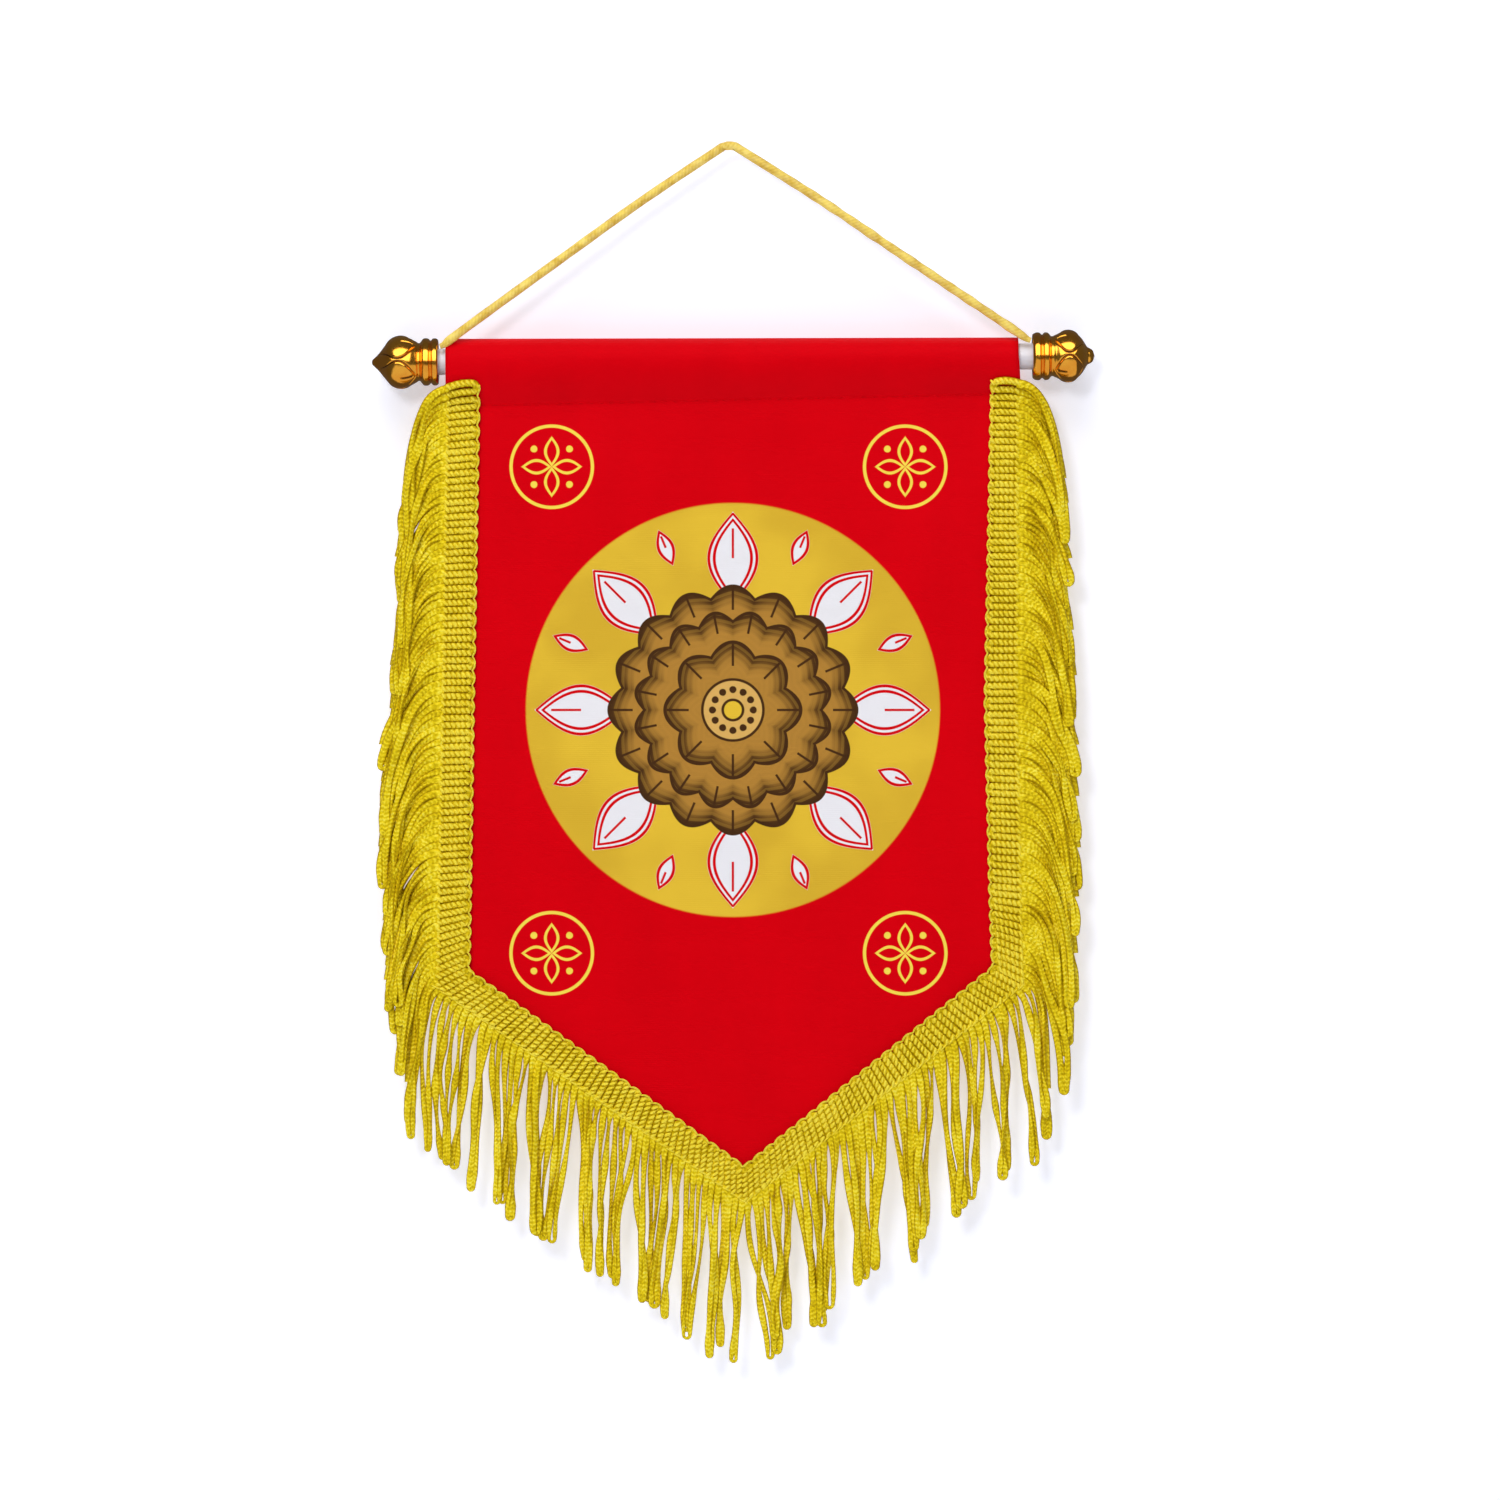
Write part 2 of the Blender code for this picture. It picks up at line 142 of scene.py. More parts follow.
def plug(graph, wire, shader, socket):
    graph.tree.links.new(wire.socket, shader.inputs[socket])


def bump(graph, shader, height, distance, strength=1.0):
    made = graph.add("ShaderNodeBump", None, {"Height": height, "Distance": distance,
                                              "Strength": strength})
    plug(graph, made, shader, "Normal")


def newObject(name, mesh):
    made = bpy.data.objects.new(name, mesh)
    bpy.context.scene.collection.objects.link(made)
    return made


def finishPiece(piece, node):
    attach(piece, body)
    if node:
        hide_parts(node)


def smooth(t):
    t = np.clip(t, 0.0, 1.0)
    return t * t * (3 - 2 * t)


def mix(one, two, share):
    return one + (two - one) * share


# how far along a line of points each of them is
def distances(line):
    return np.concatenate([[0], np.cumsum(np.linalg.norm(np.diff(line, axis=0), axis=1))])


# Camera, light and the pale wall behind

studio = {
    "lookAt": (6.05, -176.9), "distance": 2.0, "frameWidth": 442.5, "sensor": 36.0,
    "wallBehind": 8.6, "wallSize": 3.0, "floorBelow": 620.0,
    # place, width, height, power, and whether it lights things or is only mirrored in them
    "lights": {"key": ((-0.55, -1.8, 0.6), 0.45, 0.45, 12.6, True),
               "fill": ((0.34, -1.0, 0.6), 0.95, 0.95, 1.2, True),
               "top": ((-0.15, -0.7, 1.2), 0.9, 0.9, 11.5, True),
               "window": ((0.0, -0.95, 0.5), 2.1, 1.15, 23.0, False),
               "bounce": ((0.1, -0.5, -1.05), 3.0, 2.1, 13.0, False)},
    "sky": 0.1, "skyMirrored": 0.11, "skySeen": 0.94,
    "wallDiffuse": (0.68, 0.7, 0.79), "wallGlow": 0.45,
}


def buildCamera():
    data = bpy.data.cameras.new("camera")
    camera = newObject("camera", data)
    across, up = studio["lookAt"]
    camera.location = (across * mm, -studio["distance"], up * mm)
    camera.rotation_euler = (math.pi / 2, 0, 0)
    data.sensor_width = studio["sensor"]
    data.lens = studio["sensor"] * studio["distance"] / (studio["frameWidth"] * mm)
    data.clip_end = 50
    bpy.context.scene.camera = camera


def softLight(name, place, width, height, power, lighting):
    data = bpy.data.lights.new(name, "AREA")
    data.shape, data.size, data.size_y, data.energy = "RECTANGLE", width, height, power
    light = newObject(name, data)
    light.visible_diffuse = lighting
    light.visible_glossy = not lighting
    light.location = place
    target = Vector((0, 0, studio["lookAt"][1] * mm))
    light.rotation_euler = (target - Vector(place)).to_track_quat("-Z", "Y").to_euler()


# The wall is seen and lit from its front only, so views from behind look through it.
def buildStage():
    material, graph, shader = newFinish("paleWall", Roughness=0.9, Specular_IOR_Level=0.1)
    place = graph.objectPlace()
    shader.inputs["Base Color"].default_value = (*studio["wallDiffuse"], 1)
    shader.inputs["Emission Color"].default_value = (0.97, 0.97, 1, 1)
    shader.inputs["Emission Strength"].default_value = studio["wallGlow"]
    bump(graph, shader, graph.noise(place, 300.0), 0.0001, 0.1)
    behind = graph.add("ShaderNodeNewGeometry", out="Backfacing")
    clear = graph.add("ShaderNodeBsdfTransparent")
    output = graph.find("OUTPUT_MATERIAL")
    seen = graph.add("ShaderNodeMixShader", None,
                     {0: behind, 1: Wire(graph, shader.outputs[0]), 2: clear})
    graph.tree.links.new(seen.socket, output.inputs["Surface"])
    half = studio["wallSize"] / 2
    middle = studio["lookAt"][1] * mm
    back, down = studio["wallBehind"] * mm, -studio["floorBelow"] * mm
    plans = {
        "wall": [(-half, back, middle - half), (half, back, middle - half),
                 (half, back, middle + half), (-half, back, middle + half)],
        "floor": [(-half, -half, down), (half, -half, down), (half, half, down),
                  (-half, half, down)],
    }
    for name, corners in plans.items():
        mesh = bpy.data.meshes.new(name)
        mesh.from_pydata(corners, [], [(0, 1, 2, 3)])
        mesh.materials.append(material)
        plane = newObject(name, mesh)
        plane.visible_glossy = False
    world = bpy.data.worlds.new("studio")
    bpy.context.scene.world = world
    world.use_nodes = True
    graph = Graph(world.node_tree)
    background = graph.find("BACKGROUND")
    seen = graph.add("ShaderNodeLightPath", out="Is Camera Ray")
    mirrored = graph.add("ShaderNodeLightPath", out="Is Glossy Ray")
    strength = (studio["sky"] + seen * (studio["skySeen"] - studio["sky"])
                + mirrored * (studio["skyMirrored"] - studio["sky"]))
    background.inputs["Color"].default_value = (1, 1, 1, 1)
    graph.tree.links.new(strength.socket, background.inputs["Strength"])


buildCamera()
for light, facts in studio["lights"].items():
    softLight(light, *facts)
buildStage()
bpy.context.scene.view_settings.view_transform = "Standard"
print("camera, lights and wall are up")


# Geometry Nodes that the yarn pieces share

def newTree(name, inputs):
    tree = bpy.data.node_groups.new(name, "GeometryNodeTree")
    tree.interface.new_socket("Geometry", in_out="INPUT", socket_type="NodeSocketGeometry")
    tree.interface.new_socket("Geometry", in_out="OUTPUT", socket_type="NodeSocketGeometry")
    for label, kind, value in inputs:
        socket = tree.interface.new_socket(label, in_out="INPUT", socket_type="NodeSocket" + kind)
        if value is not None:
            socket.default_value = value
    graph = Graph(tree)
    source = graph.add("NodeGroupInput")
    ends = {socket.name: Wire(graph, socket) for socket in source.socket.node.outputs if socket.name}
    return tree, graph, ends


def closeTree(graph, result, finish):
    joined = graph.add("GeometryNodeRealizeInstances", None, {"Geometry": result})
    painted = graph.add("GeometryNodeSetMaterial", None, {"Geometry": joined, "Material": finish})
    graph.add("NodeGroupOutput", None, {"Geometry": painted})


# The tree runs on the guide lines, and what it makes becomes a plain mesh.
def runTree(name, guides, tree, values):
    holder = newObject(name + "Guides", guides)
    modifier = holder.modifiers.new("build", "NODES")
    modifier.node_group = tree
    for socket in tree.interface.items_tree:
        if socket.in_out == "INPUT" and socket.name in values:
            modifier[socket.identifier] = values[socket.name]
    graph = bpy.context.evaluated_depsgraph_get()
    made = bpy.data.meshes.new_from_object(holder.evaluated_get(graph), depsgraph=graph)
    holder.modifiers.remove(modifier)
    bpy.data.objects.remove(holder)
    made.name = name
    return newObject(name, made)


yarnFields = {"fatness": "FLOAT", "along": "FLOAT", "facing": "FLOAT_VECTOR"}
stitchFields = {"fatness": "FLOAT", "heading": "FLOAT_VECTOR", "facing": "FLOAT_VECTOR"}


# Guide lines as loose edges: each run has its points and what is stored at them.
def guideMesh(name, runs, fields):
    points, edges = [], []
    for run in runs:
        first = len(points)
        points += [tuple(p) for p in np.asarray(run["points"]) * mm]
        edges += [(k, k + 1) for k in range(first, len(points) - 1)]
    mesh = bpy.data.meshes.new(name)
    mesh.from_pydata(points, edges, [])
    for field, kind in fields.items():
        stored = mesh.attributes.new(field, kind, "POINT")
        values = np.concatenate([np.asarray(run[field], dtype=float).reshape(len(run["points"]), -1)
                                 for run in runs])
        key = "vector" if kind == "FLOAT_VECTOR" else "value"
        stored.data.foreach_set(key, values.astype(np.float32).ravel())
    return mesh


# A flattened yarn along each guide line: facing is the way its flat side looks, and fatness
# swells or thins it. It leaves "lobe" (across and through the yarn) and "along" for the finish.
def yarnTree():
    tree, graph, ends = newTree("yarnAlongLines", [
        ("Width", "Float", 2.0 * mm), ("Thickness", "Float", 1.0 * mm), ("Sides", "Int", 8),
        ("Finish", "Material", None)])
    facing, fatness = graph.stored("facing"), graph.stored("fatness", "FLOAT")
    lines = graph.add("GeometryNodeMeshToCurve", None, {"Mesh": ends["Geometry"]})
    lines = graph.add("GeometryNodeSetCurveNormal", {"mode": "FREE"},
                      {"Curve": lines, "Normal": facing})
    ring = graph.add("GeometryNodeCurvePrimitiveCircle", None,
                     {"Resolution": ends["Sides"], "Radius": 1.0})
    place = graph.add("GeometryNodeInputPosition")
    ring = graph.add("GeometryNodeStoreNamedAttribute", {"data_type": "FLOAT_VECTOR"},
                     {"Geometry": ring, "Name": "lobe", "Value": place})
    size = graph.add("ShaderNodeCombineXYZ", None,
                     {0: ends["Thickness"] * 0.5, 1: ends["Width"] * 0.5, 2: 1.0})
    ring = graph.add("GeometryNodeTransform", None, {"Geometry": ring, "Scale": size})
    tubes = graph.add("GeometryNodeCurveToMesh", None, {
        "Curve": lines, "Profile Curve": ring, "Scale": fatness, "Fill Caps": True})
    tubes = graph.add("GeometryNodeSetShadeSmooth", None, {"Geometry": tubes})
    closeTree(graph, tubes, ends["Finish"])
    return tree


# A small egg-shaped stitch at each guide point, lying along "heading", its top along "facing".
def stitchTree():
    tree, graph, ends = newTree("stitchesOnPoints", [
        ("Length", "Float", 1.0 * mm), ("Width", "Float", 0.5 * mm), ("Height", "Float", 0.5 * mm),
        ("Segments", "Int", 6), ("Rings", "Int", 5), ("Finish", "Material", None)])
    heading = graph.stored("heading")
    facing, fatness = graph.stored("facing"), graph.stored("fatness", "FLOAT")
    turn = graph.add("FunctionNodeAxesToRotation", {"primary_axis": "Z", "secondary_axis": "X"},
                     {"Primary Axis": heading, "Secondary Axis": facing})
    egg = graph.add("GeometryNodeMeshUVSphere", None,
                    {"Segments": ends["Segments"], "Rings": ends["Rings"], "Radius": 0.5})
    place = graph.add("GeometryNodeInputPosition")
    egg = graph.add("GeometryNodeStoreNamedAttribute", {"data_type": "FLOAT_VECTOR"},
                    {"Geometry": egg, "Name": "lobe", "Value": place})
    size = graph.add("ShaderNodeCombineXYZ", None,
                     {0: ends["Height"], 1: ends["Width"], 2: ends["Length"]})
    egg = graph.add("GeometryNodeTransform", None, {"Geometry": egg, "Scale": size})
    many = graph.add("GeometryNodeInstanceOnPoints", None, {
        "Points": ends["Geometry"], "Instance": egg, "Rotation": turn, "Scale": fatness})
    many = graph.add("GeometryNodeRealizeInstances", None, {"Geometry": many})
    many = graph.add("GeometryNodeSetShadeSmooth", None, {"Geometry": many})
    closeTree(graph, many, ends["Finish"])
    return tree


yarns, stitches = yarnTree(), stitchTree()


frontWay, backWay = np.array((0.0, -1.0, 0.0)), np.array((0.0, 1.0, 0.0))


def yarnRun(points, fatness, along, facing=None):
    facing = np.tile(frontWay, (len(points), 1)) if facing is None else facing
    return {"points": points, "fatness": fatness, "along": along, "facing": facing}


def stitchGuide(points, way, facing=frontWay, fatness=1.0):
    return {"points": points, "heading": [(way[0], 0.0, way[1])], "facing": [facing],
            "fatness": [fatness]}


def layYarn(name, runs, width, thickness, sides, finish):
    return runTree(name, guideMesh(name + "Lines", runs, yarnFields), yarns, {
        "Width": width * mm, "Thickness": thickness * mm, "Sides": sides, "Finish": finish})


def sewStitches(name, guides, size, finish):
    length, width, height = size
    return runTree(name, guideMesh(name + "Guides", guides, stitchFields), stitches, {
        "Length": length * mm, "Width": width * mm, "Height": height * mm, "Finish": finish})


print("yarn and stitch trees are ready")


# The hanging cord, a smooth satin cord with its ends tucked in between rod and finials

hangingCord = {
    "route": [  # in metres, from the left end over the nail to the right end
        (-0.08525, -0.004, -0.0581), (-0.0839, -0.0041, -0.0575), (-0.0816, -0.004, -0.0556),
        (-0.07, -0.0033, -0.047), (-0.048, -0.0022, -0.031), (-0.0264, -0.0012, -0.0154),
        (-0.004, -0.0001, -0.0003), (-0.0017, 0, 0.0011), (0, 0, 0.00135),
        (0.0017, 0, 0.0011), (0.004, -0.0001, -0.0003), (0.0267, -0.0011, -0.0147),
        (0.048, -0.002, -0.0291), (0.07, -0.003, -0.0439), (0.0845, -0.0036, -0.0537),
        (0.0874, -0.0037, -0.0557), (0.0887, -0.0037, -0.0563)],
    "diameter": 2.6, "step": 0.7, "sides": 12,
    "length": 0.210, "endThinner": 0.62, "endRun": 3.5, "twistFrom": 0.55, "twistRun": 20.0,
    "light": srgb(250, 222, 104), "deep": srgb(206, 160, 46),
}


# A smooth curve through the route's points, with even steps
def alongRoute(route, step):
    route = np.asarray(route)
    before = np.vstack([2 * route[0] - route[1], route[:-1]])
    after = np.vstack([route[1:], 2 * route[-1] - route[-2]])
    fine, pieces = [], 24
    for k in range(len(route) - 1):
        a, b, c, d = before[k], route[k], route[k + 1], after[k + 1]
        for t in np.linspace(0, 1, pieces, endpoint=False):
            fine.append(0.5 * (2 * b + (c - a) * t + (2 * a - 5 * b + 4 * c - d) * t * t
                               + (3 * b - 3 * c + d - a) * t ** 3))
    fine.append(route[-1])
    fine = np.array(fine)
    run = distances(fine)
    count = int(round(run[-1] / step))
    even = np.linspace(0, run[-1], count + 1)
    return np.stack([np.interp(even, run, fine[:, k]) for k in range(3)], axis=1), even


def cordFinish():
    spec = hangingCord
    material, graph, shader = newFinish("satinCord", Roughness=0.36, Specular_IOR_Level=0.25,
                                        Specular_Tint=(1.0, 0.9, 0.45, 1.0))
    through, across, _ = graph.parts(graph.attribute("lobe", "Vector"))
    along = graph.attribute("along")
    place = graph.objectPlace()
    # fine filaments lie at a slant round the cord, over a slow unevenness, and spread the cord's light and
    # shaded tones at random: painted light and shade
    slant = graph.maths("SINE", along * 5.2 + graph.maths("ARCTAN2", across, through) * 5.0)
    mottle = graph.noise(place, 260.0, 3.0)
    shade = graph.step(slant * 0.07 + mottle * 1.3, 0.2, 1.0)
    colour = graph.blend(shade, spec["deep"], spec["light"])
    edge = graph.step(graph.noise(place, 900.0, 1.0), 0.35, 0.7)
    plug(graph, graph.blend(edge * 0.22, colour, srgb(255, 240, 170)), shader, "Base Color")
    bump(graph, shader, slant * 0.25 + mottle, 0.00008, 0.4)
    return material


def buildCord():
    spec = hangingCord
    points, along = alongRoute(np.array(spec["route"]) / mm, spec["step"])
    whole = along[-1]
    ends = np.minimum(along, whole - along)
    fatness = mix(spec["endThinner"], 1.0, smooth(ends / spec["endRun"]))
    # the right leg is twisted a little, so it swells and thins along its length
    right = smooth((along - whole * spec["twistFrom"]) / spec["twistRun"])
    fatness *= 1 + right * (0.05 * np.sin(along * 0.9) + 0.035 * np.sin(along * 0.37 + 1.3))
    fatness *= 1 + 0.02 * np.sin(along * 0.5)
    cord = layYarn("hanging_cord_satin", [yarnRun(points, fatness, along)],
                   spec["diameter"], spec["diameter"], spec["sides"], cordFinish())
    finishPiece(cord, "hanging_cord")
    spec["diameter"] * mm


buildCord()
print("hanging cord is tied")


# Places that the cloth and its trim share. Each station of the trim: the outer edge's x and z,
# the inner edge's x and z, how far the skirt reaches out and how far it drops.

trim = {
    "stations": [
        (-83.6, -69.4, -73.7, -68.2, 12.0, 36.0), (-85.2, -162.0, -75.4, -162.0, 15.0, 43.0),
        (-86.2, -219.0, -76.2, -218.0, 14.0, 43.0), (-86.6, -247.0, -76.6, -241.8, 7.5, 46.0),
        (-58.8, -266.4, -52.1, -259.3, 3.5, 48.0), (4.6, -310.5, 4.3, -299.6, 2.0, 47.0),
        (61.9, -265.8, 55.1, -258.8, 3.5, 48.0), (87.2, -246.0, 77.4, -240.9, 7.5, 46.0),
        (86.4, -219.0, 76.6, -218.0, 14.0, 42.0), (85.3, -162.0, 75.3, -162.0, 15.5, 43.0),
        (85.7, -67.9, 77.2, -67.7, 12.0, 36.0)],
    "leftCorner": 3, "tip": 5, "rightCorner": 7,
    "gap": 0.4, "thickness": 1.2, "topBow": 0.9,
}

satin = {
    "rodLeft": (-85.1, -62.4), "rodRight": (87.2, -60.8), "pocketTop": (-55.6, -55.2),
    "pocketEnds": (-83.6, 85.1), "seam": (-75.3, -71.6), "seamFront": -1.0,
    "pocketHalf": 5.5, "hem": 4.0, "thickness": 0.45,
    "behind": 2.2,  # thicknesses from the panel's front back to the pocket's hem
    "sideTop": -60.0, "footLevel": -246.5,
    "loose": ((0.16, 0.21, 0.0), (0.12, 0.093, 1.0)),  # height, waves a mm and start of each wave
    "columns": 112, "panelRows": 150, "pocketRows": 40,
    # x, z, turn in degrees, length, width, depth of each soft fold
    "folds": [(-41, -97, 18, 42, 14, -1.3), (16, -86, 0, 30, 9, 0.7), (58, -121, -5, 27, 13, -1.1),
              (-8, -152, 28, 60, 18, 0.8), (-68, -212, 8, 34, 30, -1.6),
              (63, -213, -12, 32, 25, -1.4), (3, -270, 0, 52, 25, 1.5)],
    "foldFade": 22.0,
    "lit": srgb(220, 0, 14), "deep": srgb(212, 0, 13),
}
stations = np.array(trim["stations"], dtype=float)
outerLine, innerLine = stations[:, 0:2], stations[:, 2:4]
edgeRun = distances(outerLine)
hemBehind = satin["behind"] * satin["thickness"]


def betweenEnds(x, pair):
    left, right = satin["rodLeft"][0], satin["rodRight"][0]
    return mix(pair[0], pair[1], (x - left) / (right - left))


def rodZ(x):
    return betweenEnds(x, (satin["rodLeft"][1], satin["rodRight"][1]))


def seamZ(x):
    return betweenEnds(x, satin["seam"])


def foldY(x, z):
    depth = np.zeros(np.broadcast(x, z).shape)
    for foldX, foldZ, turn, length, width, rise in satin["folds"]:
        angle = math.radians(turn)
        away, up = x - foldX, z - foldZ
        over = (away * math.cos(angle) + up * math.sin(angle)) / width
        line = (up * math.cos(angle) - away * math.sin(angle)) / length
        depth = depth + rise * np.exp(-line ** 2 - over ** 2)
    return depth * smooth((seamZ(x) - z) / satin["foldFade"])


# the front of the cloth, which swells towards the rod above the seam
def frontY(x, z):
    climb = np.clip((z - seamZ(x)) / (rodZ(x) - seamZ(x)), 0.0, 1.0)
    swell = (satin["pocketHalf"] + satin["seamFront"]) * np.sin(climb * math.pi / 2)
    return satin["seamFront"] + foldY(x, z) - swell


# The cloth's side edges follow the trim's outer line and the pocket's ends.
def sideX(z, left):
    line = outerLine[: trim["leftCorner"] + 1] if left else outerLine[trim["rightCorner"]:][::-1]
    end = satin["pocketEnds"][0 if left else 1]
    return np.interp(-z, [-satin["sideTop"], *-line[:, 1]], [end, *line[:, 0]])


def footZ(x):
    corners = [outerLine[trim[name]] for name in ("leftCorner", "tip", "rightCorner")]
    return np.interp(x, [c[0] for c in corners], [c[1] for c in corners])


# One column of the cloth, from the lower edge up the front, over the rod and down to the hem
def clothColumn(share):
    footX = mix(sideX(satin["footLevel"], True), sideX(satin["footLevel"], False), share)
    level = mix(satin["pocketEnds"][0], satin["pocketEnds"][1], share)
    seam, rod, top = seamZ(level), rodZ(level), betweenEnds(level, satin["pocketTop"])
    z = np.linspace(footZ(footX), seam, satin["panelRows"] + 1)
    x = mix(sideX(z, True), sideX(z, False), share)
    y = frontY(x, z)
    down = (z - footZ(footX)) / (seam - footZ(footX))
    rows = [np.stack([x, y, z, down], axis=1)]
    turn = np.linspace(0, 1, satin["pocketRows"] + 1)[1:]
    half = satin["pocketHalf"]
    loose = sum(rise * np.sin(level * beat + start) for rise, beat, start in satin["loose"])
    for part in ("front", "top", "back"):
        if part == "top":
            angle = math.pi * turn
            y, z = -half * np.cos(angle), mix(rod, top, np.sin(angle))
        else:
            climb = turn if part == "front" else 1 - turn
            z = mix(seam, rod, climb)
            foot = satin["seamFront"] + (0.0 if part == "front" else hemBehind)
            side = -1 if part == "front" else 1
            y = mix(foot, side * half, np.sin(climb * math.pi / 2))
            y = y + side * loose * np.sin(climb * math.pi)
        x = mix(sideX(z, True), sideX(z, False), share)
        rows.append(np.stack([x, y, z, 1 + turn * 0.1], axis=1))
    hem = np.linspace(0, 1, 5)[1:]
    z = seam - satin["hem"] * hem
    x = mix(sideX(z, True), sideX(z, False), share)
    y = frontY(x, z) + hemBehind
    rows.append(np.stack([x, y, z, 1.4 + 0 * z], axis=1))
    return np.concatenate(rows)


# The print: a gold roundel with white leaves and a rosette, and a small ring in each corner

printed = {
    "centre": (1.0, -165.1), "radius": 61.0, "edge": 0.35,
    "rings": [(-52.4, -93.4), (51.8, -93.4), (-52.4, -236.8), (51.8, -236.8)],
    "ringRadius": 12.0, "ringLine": 0.95,
    "gold": srgb(233, 194, 56), "goldDeep": srgb(218, 178, 50), "ringGold": srgb(250, 224, 82),
    "white": srgb(240, 240, 242), "lineRed": srgb(214, 2, 10),
    "brown": srgb(62, 44, 22), "bark": srgb(112, 84, 34), "ochre": srgb(190, 140, 58),
    "sand": srgb(222, 178, 96),
    # count, turn, root, tip, half width and where the red lines run: white leaves, then buds
    "leaves": [(8, 0.0, 31.0, 58.5, 7.6, (-0.5, -2.1)), (8, math.pi / 8, 46.0, 57.5, 2.6, (-0.5,))],
    # count, turn, radius and bulge of each round of petals
    "petals": [(16, 0.0, 37.0, 3.4), (16, math.pi / 16, 29.5, 3.0), (8, 0.0, 20.5, 3.4)],
}


def satinFinish():
    material, graph, shader = newFinish("printedSatin", Specular_IOR_Level=0.16,
                                        Specular_Tint=(1.0, 0.06, 0.08, 1.0))
    place = graph.attribute("place", "Vector")
    x, z, side = graph.parts(place)

    def polar(centre):
        dx, dz = x - centre[0], z - centre[1]
        return graph.maths("SQRT", dx * dx + dz * dz), graph.maths("ARCTAN2", dx, dz)

    def inside(value, edge, soft=0.12):
        return 1.0 - graph.step(value, edge - soft, edge + soft)

    def line(value, at, width):
        return inside(abs(value - at), width / 2)

    def fold(angle, count, turned=0.0):
        wedge = 2 * math.pi / count
        return abs(graph.maths("FLOORED_MODULO", angle + (turned + wedge / 2), wedge) - wedge / 2)

    # satin: long soft streaks across the threads blend the lit and shaded reds as painted sheen, and a fine
    # slub
    sheenStreaks = graph.noise(place, 0.05, 3.0, 0.5, (1.0, 0.35, 1.0))
    slub = graph.noise(place, 1.4, 2.0, 0.6, (0.25, 2.2, 1.0))
    red = graph.blend(graph.step(sheenStreaks, 0.2, 0.8), satin["deep"], satin["lit"])
    red = graph.blend(graph.step(slub, 0.3, 0.9) * 0.1, red, srgb(226, 10, 22))

    # the roundel
    away, angle = polar(printed["centre"])
    disc = inside(away, printed["radius"], printed["edge"])
    sheen = graph.step(graph.noise(place, 0.03, 2.0), 0.35, 0.65)
    art = graph.blend(sheen, printed["goldDeep"], printed["gold"])
    # eight white leaves point outwards, each with two red lines and a vein, and eight buds between
    for count, turned, root, tip, wide, lines in printed["leaves"]:
        turnedBy = fold(angle, count, turned)
        sideways = away * graph.maths("SINE", turnedBy)
        outwards = away * graph.maths("COSINE", turnedBy)
        share = (outwards - root) / (tip - root)
        held = graph.maths("MINIMUM", graph.maths("MAXIMUM", share, 0.0), 1.0)
        bow = graph.maths("SINE", held * math.pi)
        reach = sideways - bow * wide
        long = (share > 0.0) * (share < 1.0)
        art = graph.blend(inside(reach, 0.0) * long, art, printed["white"])
        for at in lines:
            art = graph.blend(line(reach, at, 0.9) * long * (bow > 0.04), art, printed["lineRed"])
        art = graph.blend(line(sideways, 0.0, 0.7) * (share > 0.5) * (share < 0.82), art,
                          printed["lineRed"])
    # a rosette of engraved petals in three rounds
    for count, turned, radius, bulge in printed["petals"]:
        turnedBy = fold(angle, count, turned)
        wedge = math.pi / count
        edge = radius - bulge + bulge * graph.maths("COSINE", turnedBy * (0.5 * math.pi / wedge))
        within = away - edge
        hatch = graph.maths("SINE", (away + turnedBy * 9.0) * 3.3)
        petal = graph.blend(graph.step(hatch, -0.25, 0.35), printed["brown"], printed["bark"])
        glow = graph.step(within, -1.2 * bulge - 3.0, -0.8)
        petal = graph.blend((1.0 - glow) * 0.85, petal, printed["ochre"])
        art = graph.blend(inside(within, 0.0), art, petal)
        art = graph.blend(line(within, -0.5, 1.0), art, printed["brown"])
        vein = line(turnedBy * away, 0.0, 0.7) * (within < -1.0) * (away > radius - 2.2 * bulge)
        art = graph.blend(vein, art, printed["brown"])
    art = graph.blend(inside(away, 9.4), art, printed["brown"])
    art = graph.blend(inside(away, 8.6), art, printed["sand"])
    beads = fold(angle, 12)
    bead = graph.maths("SQRT", (away - 6.0) ** 2.0 + (beads * 6.0) ** 2.0)
    art = graph.blend(inside(bead, 1.05), art, printed["brown"])
    art = graph.blend(inside(away, 3.4), art, printed["brown"])
    art = graph.blend(inside(away, 2.6), art, printed["gold"])
    ink, colour = disc, graph.blend(disc, red, art)

    # the four corner rings, each round a small flower of four pointed petals
    for centre in printed["rings"]:
        away, angle = polar(centre)
        ring = line(away, printed["ringRadius"], printed["ringLine"])
        turnedBy = fold(angle, 4)
        sideways = away * graph.maths("SINE", turnedBy)
        outwards = away * graph.maths("COSINE", turnedBy)
        share = graph.maths("MINIMUM", outwards / 9.0, 1.0)
        bow = graph.maths("SINE", share * math.pi) * 2.3 - sideways
        petal = inside(abs(bow - 0.45), 0.42)
        between = fold(angle, 4, math.pi / 4)
        dot = graph.maths("SQRT", (away - 7.4) ** 2.0 + (between * 7.4) ** 2.0)
        mark = graph.maths("MAXIMUM", petal * inside(away, 9.2), inside(dot, 1.0))
        mark = graph.maths("MAXIMUM", mark, ring)
        colour = graph.blend(mark, colour, printed["ringGold"])
        ink = graph.maths("MAXIMUM", ink, mark)

    front = side > 0.5
    colour = graph.blend(front, red, colour)
    plug(graph, colour, shader, "Base Color")
    rough = 0.40 + graph.step(slub, 0.2, 0.8) * 0.07 + ink * front * 0.08
    plug(graph, rough, shader, "Roughness")
    threads = graph.maths("SINE", z * 11.0) * 0.25 + slub + sheenStreaks * 2.0
    bump(graph, shader, threads, 0.00009, 0.35)
    return material


